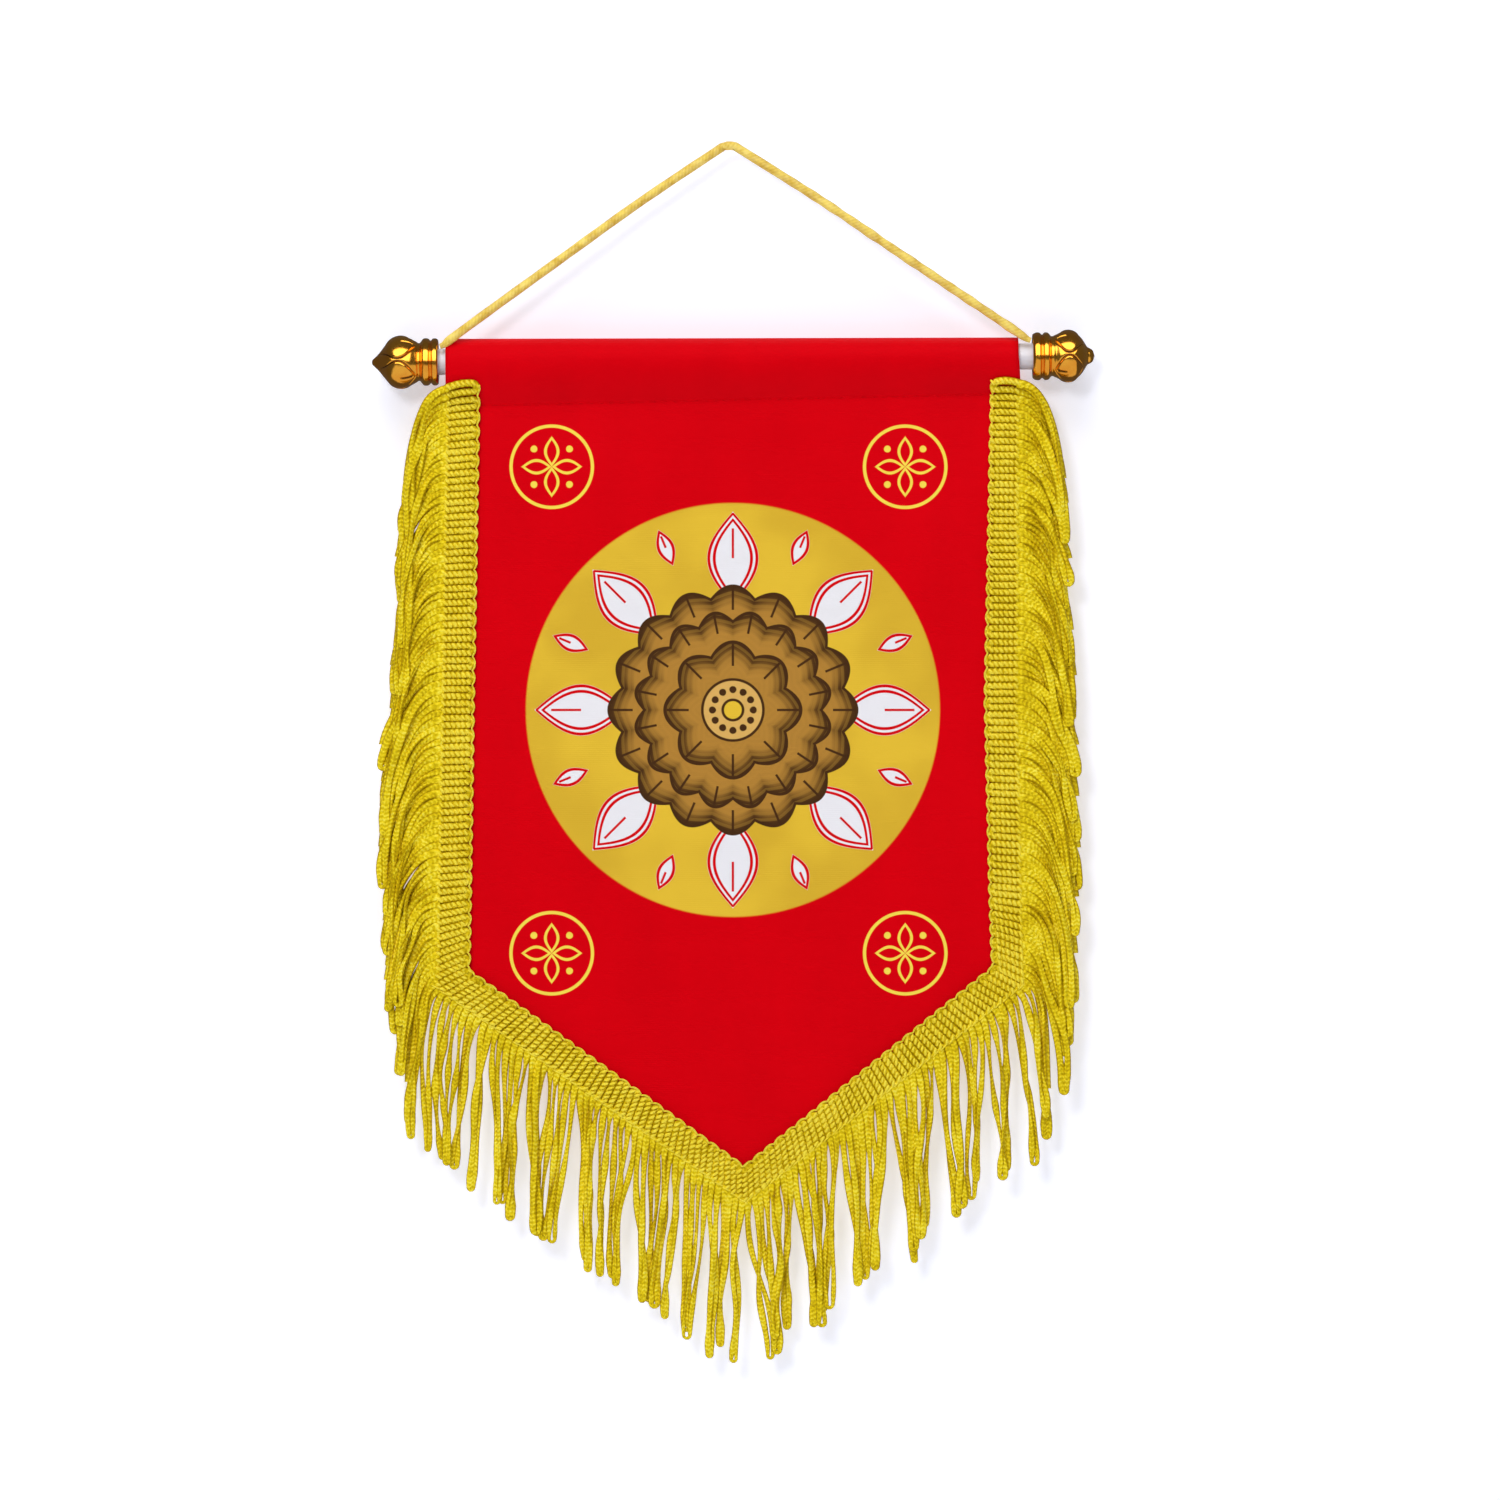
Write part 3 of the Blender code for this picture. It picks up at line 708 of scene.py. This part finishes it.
def buildCloth():
    columns = satin["columns"]
    footLeft, footRight = sideX(satin["footLevel"], True), sideX(satin["footLevel"], False)
    tipShare = (outerLine[trim["tip"]][0] - footLeft) / (footRight - footLeft)
    half = columns // 2
    shares = [*np.linspace(0, tipShare, half + 1), *np.linspace(tipShare, 1, half + 1)[1:]]
    grid = np.array([clothColumn(share) for share in shares])
    rows = grid.shape[1]
    mesh = bpy.data.meshes.new("pennant_cloth")
    faces = [(c * rows + r, (c + 1) * rows + r, (c + 1) * rows + r + 1, c * rows + r + 1)
             for c in range(columns) for r in range(rows - 1)]
    mesh.from_pydata([tuple(p) for p in grid[:, :, :3].reshape(-1, 3) * mm], [], faces)
    stored = mesh.attributes.new("place", "FLOAT_VECTOR", "POINT")
    flat = grid.reshape(-1, 4)
    onPanel = (flat[:, 3] <= 1.0).astype(float)
    marks = np.stack([flat[:, 0], flat[:, 2], onPanel], axis=1)
    stored.data.foreach_set("vector", marks.astype(np.float32).ravel())
    mesh.polygons.foreach_set("use_smooth", [True] * len(faces))
    cloth = newObject("pennant_cloth", mesh)
    mesh.materials.append(satinFinish())
    solid = cloth.modifiers.new("thickness", "SOLIDIFY")
    solid.thickness, solid.offset = satin["thickness"] * mm, -1.0
    graph = bpy.context.evaluated_depsgraph_get()
    thick = bpy.data.meshes.new_from_object(cloth.evaluated_get(graph), depsgraph=graph)
    cloth.modifiers.clear()
    cloth.data = thick
    # only the outer face of the panel carries the print: the copies behind it lose their mark
    side = thick.attributes["place"]
    values = np.zeros(len(thick.vertices) * 3, dtype=np.float32)
    side.data.foreach_get("vector", values)
    values = values.reshape(-1, 3)
    values[len(flat):, 2] = 0.0
    side.data.foreach_set("vector", values.ravel())
    finishPiece(cloth, "cloth")
    return cloth


cloth = buildCloth()
print("satin pennant is cut and hung")


# The heading of the trim: rows of yarn across the tape, joined in pairs at the inner edge and
# crossed by knitted lines whose stitches show as short slanted dashes

heading = {
    "pitch": 2.12, "yarn": 2.3, "yarnThick": 1.0, "scallop": 0.85,
    "lines": 6, "firstLine": 1.0, "linePitch": 1.45,
    "dash": (2.0, 0.92, 1.1), "dashTurn": 50.0,
    "edgeThread": 0.62, "seamDash": (3.0, 0.55, 0.5), "seamPitch": 2.9, "seamTurn": 0.16,
    "seamInset": 0.25, "threadInset": 1.3, "threadSteps": 8, "stitch": 1.45,
    "gold": srgb(236, 207, 20), "deep": srgb(172, 140, 2), "highlight": srgb(255, 238, 82), "knit": 0.2,
}
middleLine = (outerLine + innerLine) / 2
middleRun = distances(middleLine)


def trimAt(run, line, where):
    return np.stack([np.interp(where, run, line[:, 0]), np.interp(where, run, line[:, 1])], axis=-1)


def yarnFinish(name, spec, stitch, rough=0.42):
    material, graph, shader = newFinish(name, Specular_IOR_Level=0.16,
                                        Specular_Tint=(*spec.get("glint", (1.0, 0.86, 0.2)), 1.0))
    through, across, _ = graph.parts(graph.attribute("lobe", "Vector"))
    along = graph.attribute("along")
    place = graph.objectPlace()
    # knitted stitches meet in a v along the middle of the yarn
    chevron = graph.maths("SINE", (along / stitch - abs(across) * 0.42) * (2 * math.pi))
    speck = graph.noise(place, 950.0, 2.0, 0.65)
    patch = graph.noise(place, 120.0, 2.0)
    # painted shade: the yarn is darkened a little along its middle groove and much more towards its edges,
    # where strands meet
    middle = 1.0 - graph.step(abs(across), 0.0, 0.3)
    rimShade = graph.step(abs(across), 0.6, 1.0)
    shade = chevron * spec["knit"] + speck * 1.1 + patch * 0.7 - middle * 0.08 - rimShade * 0.6 + 0.1
    # the shaded, gold and highlight tones are shaded and lit copies of one yarn colour: painted shade and
    # painted highlight
    colour = graph.blend(graph.step(shade, 0.35, 1.3), spec["deep"], spec["gold"])
    colour = graph.blend(graph.step(shade, 0.95, 1.5), colour, spec["highlight"])
    plug(graph, colour, shader, "Base Color")
    plug(graph, rough + speck * 0.2, shader, "Roughness")
    bump(graph, shader, chevron * (spec["knit"] * 3.0) + speck * 0.9 - middle * 0.5, 0.00024, 0.8)
    return material


def headingRun(outer, inner):
    across = inner - outer
    return across / np.linalg.norm(across), float(np.linalg.norm(across))


# the first rows at each top end bow upwards
def liftOff(points, rise):
    points = np.array(points, dtype=float)
    for end, other in ((0, innerLine[0]), (-1, innerLine[-1])):
        outer = outerLine[end]
        share = (points[:, 0] - outer[0]) / (other[0] - outer[0])
        below = np.maximum(outer[1] - points[:, 1], 0.0)
        bow = np.sin(np.clip(share, 0, 1) * math.pi) * np.exp(-below / 3.5)
        points[:, 1] += bow * trim["topBow"] * ((share > 0) & (share < 1.2))
    x, z = points[:, 0], points[:, 1]
    return np.stack([x, frontY(x, z) - trim["gap"] - rise, z], axis=1)


def buildHeading():
    spec = heading
    pairs = int(middleRun[-1] / (2 * spec["pitch"]))
    pitch = middleRun[-1] / (2 * pairs)
    rowsMade, dashes = [], []
    for k in range(pairs):
        pairAt = middleRun[-1] * (k + 0.5) / pairs
        places = [pairAt - pitch / 2, pairAt + pitch / 2]
        ends = [(trimAt(middleRun, outerLine, s), trimAt(middleRun, innerLine, s)) for s in places]
        (outA, inA), (outB, inB) = ends
        dirA, wide = headingRun(outA, inA)
        dirB, _ = headingRun(outB, inB)
        turnAt = wide - spec["yarn"] / 2 - pitch / 2 + spec["scallop"] * 0.4
        steps = np.linspace(0, turnAt, 11)
        goIn = [outA + dirA * d for d in steps]
        comeOut = [outB + dirB * d for d in steps[::-1]]
        bend = (goIn[-1] + comeOut[0]) / 2
        spread = comeOut[0] - goIn[-1]
        ahead = (dirA + dirB) / 2
        loop = [bend - spread / 2 * math.cos(a) + ahead * np.linalg.norm(spread) * 0.5 * math.sin(a)
                for a in np.linspace(0, math.pi, 7)[1:-1]]
        flat = np.array(goIn + loop + comeOut)
        points = liftOff(flat, trim["thickness"] * 0.45)
        along = distances(flat)
        wave = 1 + 0.05 * np.sin(along / spec["linePitch"] * 2 * math.pi)
        rowsMade.append(yarnRun(points, wave, along))
        for (outer, inner), direction in zip(ends, (dirA, dirB)):
            tape = np.array((-direction[1], direction[0]))
            if tape[1] > 0:
                tape = -tape
            for line in range(spec["lines"]):
                reach = spec["firstLine"] + line * spec["linePitch"]
                at = outer + direction * reach
                wobble = rng.uniform(-0.12, 0.12)
                lean = math.radians(spec["dashTurn"] + rng.uniform(-7, 7))
                # the dash leans from upper left to lower right whichever way the tape runs
                level = direction if direction[0] >= 0 else -direction
                lay = level * math.cos(lean) + tape * math.sin(lean)
                dashes.append(stitchGuide(liftOff([at + tape * wobble], trim["thickness"]), lay,
                                          fatness=rng.uniform(0.88, 1.12)))
    finish = yarnFinish("headingYarn", spec, spec["stitch"])
    # the dashes, the edge thread and the seam stitches take the yarn's highlight tone: painted highlight
    highlighted = {**spec, "deep": srgb(244, 218, 34), "gold": spec["highlight"]}
    highlightFinish = yarnFinish("headingStitchHighlight", highlighted, spec["stitch"])
    rows = layYarn("heading_rows", rowsMade, spec["yarn"], spec["yarnThick"], 8, finish)
    knit = sewStitches("heading_stitches", dashes, spec["dash"], highlightFinish)
    # the thread along the scalloped inner edge, in the yarn's highlight tone
    count = pairs * spec["threadSteps"]
    where = np.linspace(spec["threadInset"], middleRun[-1] - spec["threadInset"], count + 1)
    outer, inner = trimAt(middleRun, outerLine, where), trimAt(middleRun, innerLine, where)
    ways = (inner - outer) / np.linalg.norm(inner - outer, axis=1)[:, None]
    swing = np.abs(np.sin(where / (2 * pitch) * math.pi)) ** 0.8
    swing *= smooth(np.minimum(where, middleRun[-1] - where) / pitch + 0.3)
    edge = inner + ways * ((swing - 0.75) * spec["scallop"])[:, None]
    thread = yarnRun(liftOff(edge, trim["thickness"] * 0.7), np.ones(len(edge)), where)
    # long seam stitches show along the outer edge of the two lower runs, and hold the tape down
    places = np.arange(edgeRun[trim["leftCorner"]], edgeRun[trim["rightCorner"]], spec["seamPitch"])
    seam = []
    for s in places:
        at, after = trimAt(edgeRun, outerLine, s), trimAt(edgeRun, outerLine, s + 0.5)
        way = (after - at) / np.linalg.norm(after - at)
        inwards = np.array((-way[1], way[0]))
        lay = way * math.cos(spec["seamTurn"]) + inwards * math.sin(spec["seamTurn"])
        seam.append(stitchGuide(liftOff([at + inwards * spec["seamInset"]], trim["thickness"] * 0.95), lay))
    edgeThread = layYarn("heading_edge_thread", [thread], spec["edgeThread"], spec["edgeThread"], 6,
                         highlightFinish)
    seamRow = sewStitches("heading_seam_stitches", seam, spec["seamDash"], highlightFinish)
    made = [rows, knit, edgeThread, seamRow]
    for piece in made:
        finishPiece(piece, "heading")
    return made


rng = random.Random(11)
headingPieces = buildHeading()
print("heading braid is sewn on")


# The sewing: red stitches along the pocket's seam, on both faces, and the two yellow lines at
# the back that hold the trim

sewing = {
    "stitch": (2.3, 0.42, 0.34), "pitch": 3.1, "hemInset": 0.8, "seamDip": 0.3, "margin": 1.5,
    "trimLines": (0.1, 0.86), "clearOfHem": 0.6, "knitted": 1.2,
    "red": {"gold": srgb(222, 2, 14), "deep": srgb(192, 0, 10), "highlight": srgb(236, 24, 34),
            "knit": 0.1, "glint": (1.0, 0.06, 0.08)},
    "yellow": {"gold": srgb(240, 214, 36), "deep": srgb(190, 160, 8), "highlight": srgb(255, 240, 96),
               "knit": 0.1},
}


def buildSewing():
    spec, wall = sewing, satin["thickness"]
    red, yellow = [], []
    slope = (satin["seam"][1] - satin["seam"][0]) / (satin["rodRight"][0] - satin["rodLeft"][0])
    margin, pitch = spec["margin"], spec["pitch"]
    for x in np.arange(innerLine[0][0] + margin, innerLine[-1][0] - margin, pitch):
        z = seamZ(x) - spec["seamDip"]
        red.append(stitchGuide([(x, float(frontY(x, z)), z)], (1.0, slope)))
    for x in np.arange(outerLine[0][0] + margin, outerLine[-1][0] - margin, pitch):
        z = seamZ(x) - satin["hem"] + spec["hemInset"]
        red.append(stitchGuide([(x, float(frontY(x, z)) + hemBehind, z)], (1.0, slope), backWay))
    for share in spec["trimLines"]:
        line = mix(outerLine, innerLine, share)
        for s in np.arange(0.0, middleRun[-1], pitch):
            at, after = trimAt(middleRun, line, s), trimAt(middleRun, line, s + 0.5)
            if at[1] < seamZ(at[0]) - satin["hem"] - spec["clearOfHem"] and s + 0.5 < middleRun[-1]:
                way = (after - at) / np.linalg.norm(after - at)
                yellow.append(stitchGuide([(at[0], float(frontY(*at)) + wall, at[1])], way, backWay))
    made = []
    for name, guides, colours, slotName in (("sewing_red", red, "red", "satin"),
                                            ("sewing_yellow", yellow, "yellow", "trim")):
        piece = sewStitches(name, guides, spec["stitch"],
                            yarnFinish(name + "Thread", spec[colours], spec["knitted"]))
        finishPiece(piece, None)
        made.append(piece)
    return made


sewingPieces = buildSewing()
print("sewing is done")


# The skirt: each row's yarn leaves the heading, falls, turns in a loop and comes back as the
# next row. Neighbouring loops lean together in clumps.

skirt = {
    "pitch": 2.13, "width": 2.5, "thickness": 1.15, "stitch": 1.25, "step": 0.95,
    "rise": 9.0, "curve": 0.6, "clump": (1, 4), "clumpPull": 0.62,
    "shortShare": 0.3, "shorter": (5.0, 17.0),
    "gold": srgb(250, 223, 24), "deep": srgb(182, 149, 2), "highlight": srgb(255, 242, 88), "knit": 0.15,
    "under": 0.9, "underFall": 0.72, "underFat": 1.15, "underFrom": 0.85, "strayFrom": 0.8,
    "fallSpread": 2.6, "clumpShift": 1.8, "clumpLonger": 2.2, "footSpread": 1.2, "crossShare": 0.35,
    "layers": 3, "layerDepth": -1.05, "layerSpread": 0.25, "loopHalf": (0.45, 1.0),
    "waveHeight": 1.7, "waveBeats": (2, 7), "legDepth": 0.7, "crossedDepth": 1.3,
    "turnMost": (0.4, 1.45), "turnBeats": (0.09, 0.2), "thin": (0.62, 0.94), "anyStart": 6.3,
    "sections": [("fringe_left", 0, 3), ("fringe_lower_left", 3, 5),
                 ("fringe_lower_right", 5, 7), ("fringe_right", 7, 10)],
}


def skirtDirection(s):
    before, after = trimAt(edgeRun, outerLine, s - 6.0), trimAt(edgeRun, outerLine, s + 6.0)
    way = (after - before) / np.linalg.norm(after - before)
    return np.array((way[1], -way[0]))


# How far sideways the skirt reaches where its outward direction is out
def skirtReach(s, out):
    reach = np.interp(s, edgeRun, stations[:, 4])
    return abs(out[0]) ** 0.5 * math.copysign(reach, out[0] if abs(out[0]) > 0.05 else 0.01)


# One strand from its root at s down to the tip. It first goes outwards, then falls, and leans
# sideways to its tip. depth is the layer it hangs in, and cross how far it bows out of it.
def strandLine(s, tip, depth, cross, wave):
    root = trimAt(edgeRun, outerLine, s)
    out = skirtDirection(s)
    start = root - out * 1.0
    drop = start[1] - tip[1]
    count = max(int(drop * 1.12 / skirt["step"]), 12)
    share = np.linspace(0, 1, count) ** 1.25
    down = share * drop
    spread = 1 - np.exp(-(down / skirt["rise"]) ** skirt["curve"])
    spread = spread / spread[-1]
    x = start[0] + skirtReach(s, out) * spread
    lean = tip[0] - x[-1]
    x = x + lean * smooth(share) ** 1.15
    x = x + wave[0] * np.sin(share * math.pi) * np.sin(share * wave[1] + wave[2])
    # it starts level with the heading's yarn, and comes into its own layer in the first part
    rootY = frontY(root[0], root[1]) - trim["gap"] - 0.55
    y = rootY + smooth(share * 3.5) * (depth + 0.35) + cross * np.sin(share * math.pi) ** 2
    return np.stack([x, y, start[1] - down], axis=1)


def facingAlong(points, turns):
    tangent = np.gradient(points, axis=0)
    tangent /= np.linalg.norm(tangent, axis=1)[:, None]
    flat = frontWay - tangent * (tangent @ frontWay)[:, None]
    flat /= np.linalg.norm(flat, axis=1)[:, None]
    side = np.cross(tangent, flat)
    return flat * np.cos(turns)[:, None] + side * np.sin(turns)[:, None]


def buildSkirt():
    spec = skirt
    finish = yarnFinish("fringeYarn", spec, spec["stitch"], 0.45)
    made = []
    for name, first, last in spec["sections"]:
        low, high = edgeRun[first], edgeRun[last]
        pairs = int((high - low) / (2 * spec["pitch"]))
        step = (high - low) / pairs
        runs = []
        k = 0
        while k < pairs:
            size = min(rng.randint(*spec["clump"]), pairs - k)
            centre = low + step * (k + size / 2)
            shift = rng.uniform(-spec["clumpShift"], spec["clumpShift"])
            longer = rng.uniform(-spec["clumpLonger"], spec["clumpLonger"])
            for member in range(size):
                s = low + step * (k + member + 0.5)
                root = trimAt(edgeRun, outerLine, s)
                home = trimAt(edgeRun, outerLine, centre)
                out = skirtDirection(s)
                fall = np.interp(s, edgeRun, stations[:, 5]) + longer
                fall = fall + rng.uniform(-spec["fallSpread"], spec["fallSpread"])
                steep = abs(out[0])
                # along the sides some loops are short, and their tips stick out at the edge
                stray = rng.random() < spec["shortShare"] and steep > spec["strayFrom"]
                fall -= rng.uniform(*spec["shorter"]) if stray else 0.0
                pull = spec["clumpPull"] * (1 - smooth((steep - 0.6) / 0.35))
                foot = root[0] + skirtReach(s, out)
                foot = foot + (home[0] - root[0]) * pull + shift * (1.0 - 0.4 * steep)
                foot = foot + rng.uniform(-spec["footSpread"], spec["footSpread"])
                tip = np.array((foot, root[1] - fall))
                layer = ((k + member) % spec["layers"]) * spec["layerDepth"]
                layer = layer + rng.uniform(-spec["layerSpread"], spec["layerSpread"])
                crossing = rng.random() < spec["crossShare"]
                turn = rng.uniform(*spec["loopHalf"])
                sides = (1, -1) if first < 5 else (-1, 1)
                if crossing:
                    sides = (-sides[0], -sides[1])
                legs = []
                for leg, sign in enumerate(sides):
                    at = s + (leg - 0.5) * spec["pitch"]
                    end = np.array((tip[0] - sign * turn, tip[1] + turn))
                    wave = (rng.uniform(-spec["waveHeight"], spec["waveHeight"]),
                            rng.uniform(*spec["waveBeats"]), rng.uniform(0, spec["anyStart"]))
                    offset = (0.5 - leg) * spec["crossedDepth" if crossing else "legDepth"]
                    legs.append(strandLine(at, end, layer, offset, wave))
                bend = [np.array((tip[0] - sides[0] * turn * math.cos(a), legs[0][-1][1],
                                  tip[1] + turn - turn * math.sin(a)))
                        for a in np.linspace(0, math.pi, 6)[1:-1]]
                points = np.concatenate([legs[0], bend, legs[1][::-1]])
                along = distances(points)
                whole = along[-1]
                if steep > spec["underFrom"]:
                    # a plain strand behind fills the bow where the side loops fan out
                    behind = s + spec["pitch"] / 2
                    foothold = trimAt(edgeRun, outerLine, behind)[1] - fall * spec["underFall"]
                    hidden = strandLine(behind, np.array((foot, foothold)), spec["under"], 0.0,
                                        (0.0, 3.0, 0.0))
                    runs.append(yarnRun(hidden, np.full(len(hidden), spec["underFat"]),
                                        np.arange(len(hidden)) * spec["step"],
                                        facingAlong(hidden, np.zeros(len(hidden)))))
                # the yarn turns about itself, but lies flat at its root and at the loop
                most, beat = rng.uniform(*spec["turnMost"]), rng.uniform(*spec["turnBeats"])
                turns = most * np.sin(along * beat + rng.uniform(0, spec["anyStart"]))
                toTip, toRoot = np.abs(along - whole / 2), np.minimum(along, whole - along)
                turns = turns * smooth(toTip / 9.0) * smooth(toRoot / 6.0)
                # it narrows at the loop, and is at its full width where it leaves the heading
                fat = mix(0.62, 1.0, smooth(toTip / 5.0))
                fat = fat * (1 + 0.14 * np.sin(along * 0.23 + rng.uniform(0, spec["anyStart"])))
                fat = fat * rng.uniform(*spec["thin"]) * (1 + 0.16 * steep)
                fat = mix(0.98, fat, smooth(toRoot / 13.0))
                runs.append(yarnRun(points, fat, along, facingAlong(points, turns)))
            k += size
        piece = layYarn(name, runs, spec["width"], spec["thickness"], 8, finish)
        finishPiece(piece, "fringe")
        made.append(piece)
        print(name, len(runs), "loops", len(piece.data.polygons) * 2, "triangles")
    return made


rng = random.Random(23)
skirtPieces = buildSkirt()
print("fringe skirt hangs")

headingPieces + sewingPieces + skirtPieces


# The finials: turned gilt buds with carved leaves, pushed on the rod's ends

finials = {
    "around": 192, "step": 0.13, "leaves": 4, "leafRise": 0.5, "groove": 0.42,
    "left": {
        "mouth": -85.9, "out": -1.0, "turn": 132.0, "leafFrom": 6.4, "leafTo": 17.2,
        "profile": [(0, 6.5), (0.5, 6.9), (1.5, 6.9), (2.2, 6.3), (2.9, 6.9), (4.3, 6.9), (5.5, 5.6),
                    (6.6, 6.1), (8.6, 7.1), (11, 7.4), (13, 7.0), (14.6, 6.1), (16, 4.5), (17.4, 2.7),
                    (18.7, 1.4), (19.4, 0.7), (19.6, 0)]},
    "right": {
        "mouth": 89.4, "out": 1.0, "turn": 138.0, "leafFrom": 6.4, "leafTo": 14.9,
        "profile": [(0, 6.5), (0.9, 7), (2, 7), (2.8, 6.4), (3.5, 7), (4.6, 6.9), (5.6, 5.9), (6.8, 6.3),
                    (8.4, 7), (10.6, 7.3), (12.7, 6.8), (14.4, 5.3), (15.6, 3.5), (16.2, 2.6),
                    (17.0, 2.2), (17.8, 1.5), (18.3, 0)]},
    "socket": 9.0, "bore": 4.1,
}


def evenRing(depth, radius, around):
    return np.column_stack([np.full(around, depth), np.full(around, radius)])


# A turned shape: rings of depth and radius round an axis, closed at both ends
def turnedPiece(name, origin, axis, out, rings, finish):
    around = len(rings[0])
    angles = np.arange(around) * 2 * math.pi / around
    upright = np.array((-axis[1], axis[0])) * out
    points = []
    for ring in rings:
        flat = origin + axis * ring[:, :1] + upright * (ring[:, 1] * np.cos(angles))[:, None]
        points += list(zip(flat[:, 0] * mm, -ring[:, 1] * np.sin(angles) * mm, flat[:, 1] * mm))
    faces = [(r * around + c, r * around + (c + 1) % around,
              (r + 1) * around + (c + 1) % around, (r + 1) * around + c)
             for r in range(len(rings) - 1) for c in range(around)]
    for ring in (0, len(rings) - 1):
        centre = origin + axis * rings[ring][0, 0]
        points.append((centre[0] * mm, 0.0, centre[1] * mm))
        faces += [(ring * around + c, ring * around + (c + 1) % around, len(points) - 1)
                  for c in range(around)]
    mesh = bpy.data.meshes.new(name)
    mesh.from_pydata(points, [], faces)
    shape = bmesh.new()
    shape.from_mesh(mesh)
    bmesh.ops.recalc_face_normals(shape, faces=shape.faces)
    shape.to_mesh(mesh)
    shape.free()
    mesh.polygons.foreach_set("use_smooth", [True] * len(mesh.polygons))
    mesh.materials.append(finish)
    return newObject(name, mesh)


def giltFinish():
    material, graph, shader = newFinish("giltPlastic", Metallic=1.0, Coat_Weight=0.12,
                                        Coat_Roughness=0.08)
    place = graph.objectPlace()
    grooveShade = graph.attribute("grooveShade")
    wear = graph.noise(place, 160.0, 3.0, 0.6)
    fine = graph.noise(place, 1200.0, 2.0)
    gold = graph.blend(graph.step(wear, 0.35, 0.7), srgb(242, 160, 50), srgb(252, 180, 62))
    # painted shade: the carved grooves, leaf veins and the socket's inside are painted dark brown
    colour = graph.blend(graph.step(grooveShade, 0.15, 0.95), gold, srgb(58, 24, 6))
    plug(graph, colour, shader, "Base Color")
    plug(graph, 0.12 + wear * 0.1 + grooveShade * 0.3, shader, "Roughness")
    bump(graph, shader, wear + fine * 0.25, 0.00012, 0.35)
    return material


def buildFinial(side, finish):
    spec, shared = finials[side], finials
    start, end = np.array(satin["rodLeft"]), np.array(satin["rodRight"])
    axis = (end - start) / np.linalg.norm(end - start) * spec["out"]
    mouthX = spec["mouth"]
    mouth = np.array((mouthX, rodZ(mouthX)))
    profile = np.array(spec["profile"], dtype=float)
    # a smooth line through the turned profile
    smoothLine, _ = alongRoute(np.column_stack([profile, 0 * profile[:, 0]]), shared["step"])
    outerAlong, outerRadius = smoothLine[:, 0], np.maximum(smoothLine[:, 1], 0.0)
    around = shared["around"]
    angles = np.arange(around) * 2 * math.pi / around
    rings, hollows = [], []
    socket, bore = shared["socket"], shared["bore"]
    # the socket's inside is given a middling painted shade
    for depth, radius in ((socket, 0.5), (socket, bore), (0.05, bore)):
        rings.append(evenRing(depth, radius, around))
        hollows.append(np.full(around, 0.6))
    for depth, radius in zip(outerAlong[:-1], outerRadius[:-1]):
        share = (depth - spec["leafFrom"]) / (spec["leafTo"] - spec["leafFrom"])
        lift, groove = np.zeros(around), np.zeros(around)
        if 0 < share < 1:
            wedge = 2 * math.pi / shared["leaves"]
            leafTurn = math.radians(spec["turn"]) * spec["out"] * -1
            local = np.abs((angles - leafTurn + wedge / 2) % wedge - wedge / 2)
            bow = math.sin(math.pi * share) ** 0.8 * wedge * 0.47
            edge = (local - bow) * radius
            lift = shared["leafRise"] * smooth(-edge / 0.5) * math.sin(math.pi * share) ** 0.5
            groove = np.exp(-(edge / 0.32) ** 2) * math.sin(math.pi * share) ** 0.3
            vein = np.exp(-(local * radius / 0.3) ** 2)
            vein = vein * smooth((share - 0.04) / 0.08) * smooth((0.46 - share) / 0.1)
            groove = np.maximum(groove, vein)
        carved = radius + lift - shared["groove"] * groove
        rings.append(np.column_stack([np.full(around, depth), carved]))
        hollows.append(np.clip(groove, 0, 1))
    piece = turnedPiece("finial_" + side + "_gilt", mouth, axis, spec["out"], rings, finish)
    shade = piece.data.attributes.new("grooveShade", "FLOAT", "POINT")
    shade.data.foreach_set("value", np.append(np.concatenate(hollows), [0.0, 0.0]).astype(np.float32))
    finishPiece(piece, "finial_" + side)


gilt = giltFinish()
for side in ("left", "right"):
    buildFinial(side, gilt)
print("finials are turned")


# The rod: a drawn bar of white plastic with its edges rounded over

rodBar = {
    "diameter": 7.7, "around": 72, "rounding": 0.5, "roundingSteps": 4,
    "white": srgb(240, 240, 244), "shade": srgb(224, 224, 231), "drawn": srgb(204, 204, 216),
}


def rodFinish():
    material, graph, shader = newFinish("whitePlastic", Specular_IOR_Level=0.45)
    place = graph.objectPlace()
    drawn = graph.noise(place, 900.0, 2.0, 0.5, (0.02, 1.0, 1.0))
    cloud = graph.noise(place, 90.0, 3.0)
    colour = graph.blend(graph.step(cloud, 0.3, 0.7), rodBar["shade"], rodBar["white"])
    colour = graph.blend(graph.step(drawn, 0.45, 0.8) * 0.25, colour, rodBar["drawn"])
    plug(graph, colour, shader, "Base Color")
    plug(graph, 0.3 + cloud * 0.15, shader, "Roughness")
    bump(graph, shader, drawn, 0.00006, 0.4)
    return material


def buildRod():
    spec = rodBar
    low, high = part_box("rod")
    leftX, rightX = low.x / mm, high.x / mm
    start, end = np.array((leftX, rodZ(leftX))), np.array((rightX, rodZ(rightX)))
    whole = float(np.linalg.norm(end - start))
    rings = []
    for k in range(spec["roundingSteps"] + 1):
        turn = math.pi / 2 * k / spec["roundingSteps"]
        rings.append((spec["rounding"] * (1 - math.sin(turn)), spec["rounding"] * (1 - math.cos(turn))))
    rings = [(depth, spec["diameter"] / 2 - less) for depth, less in rings[::-1]]
    rings += [(whole - depth, radius) for depth, radius in rings[::-1]]
    sections = [evenRing(depth, radius, spec["around"]) for depth, radius in rings]
    piece = turnedPiece("rod_plastic", start, (end - start) / whole, 1.0, sections, rodFinish())
    finishPiece(piece, "rod")


buildRod()
print("rod is drawn")
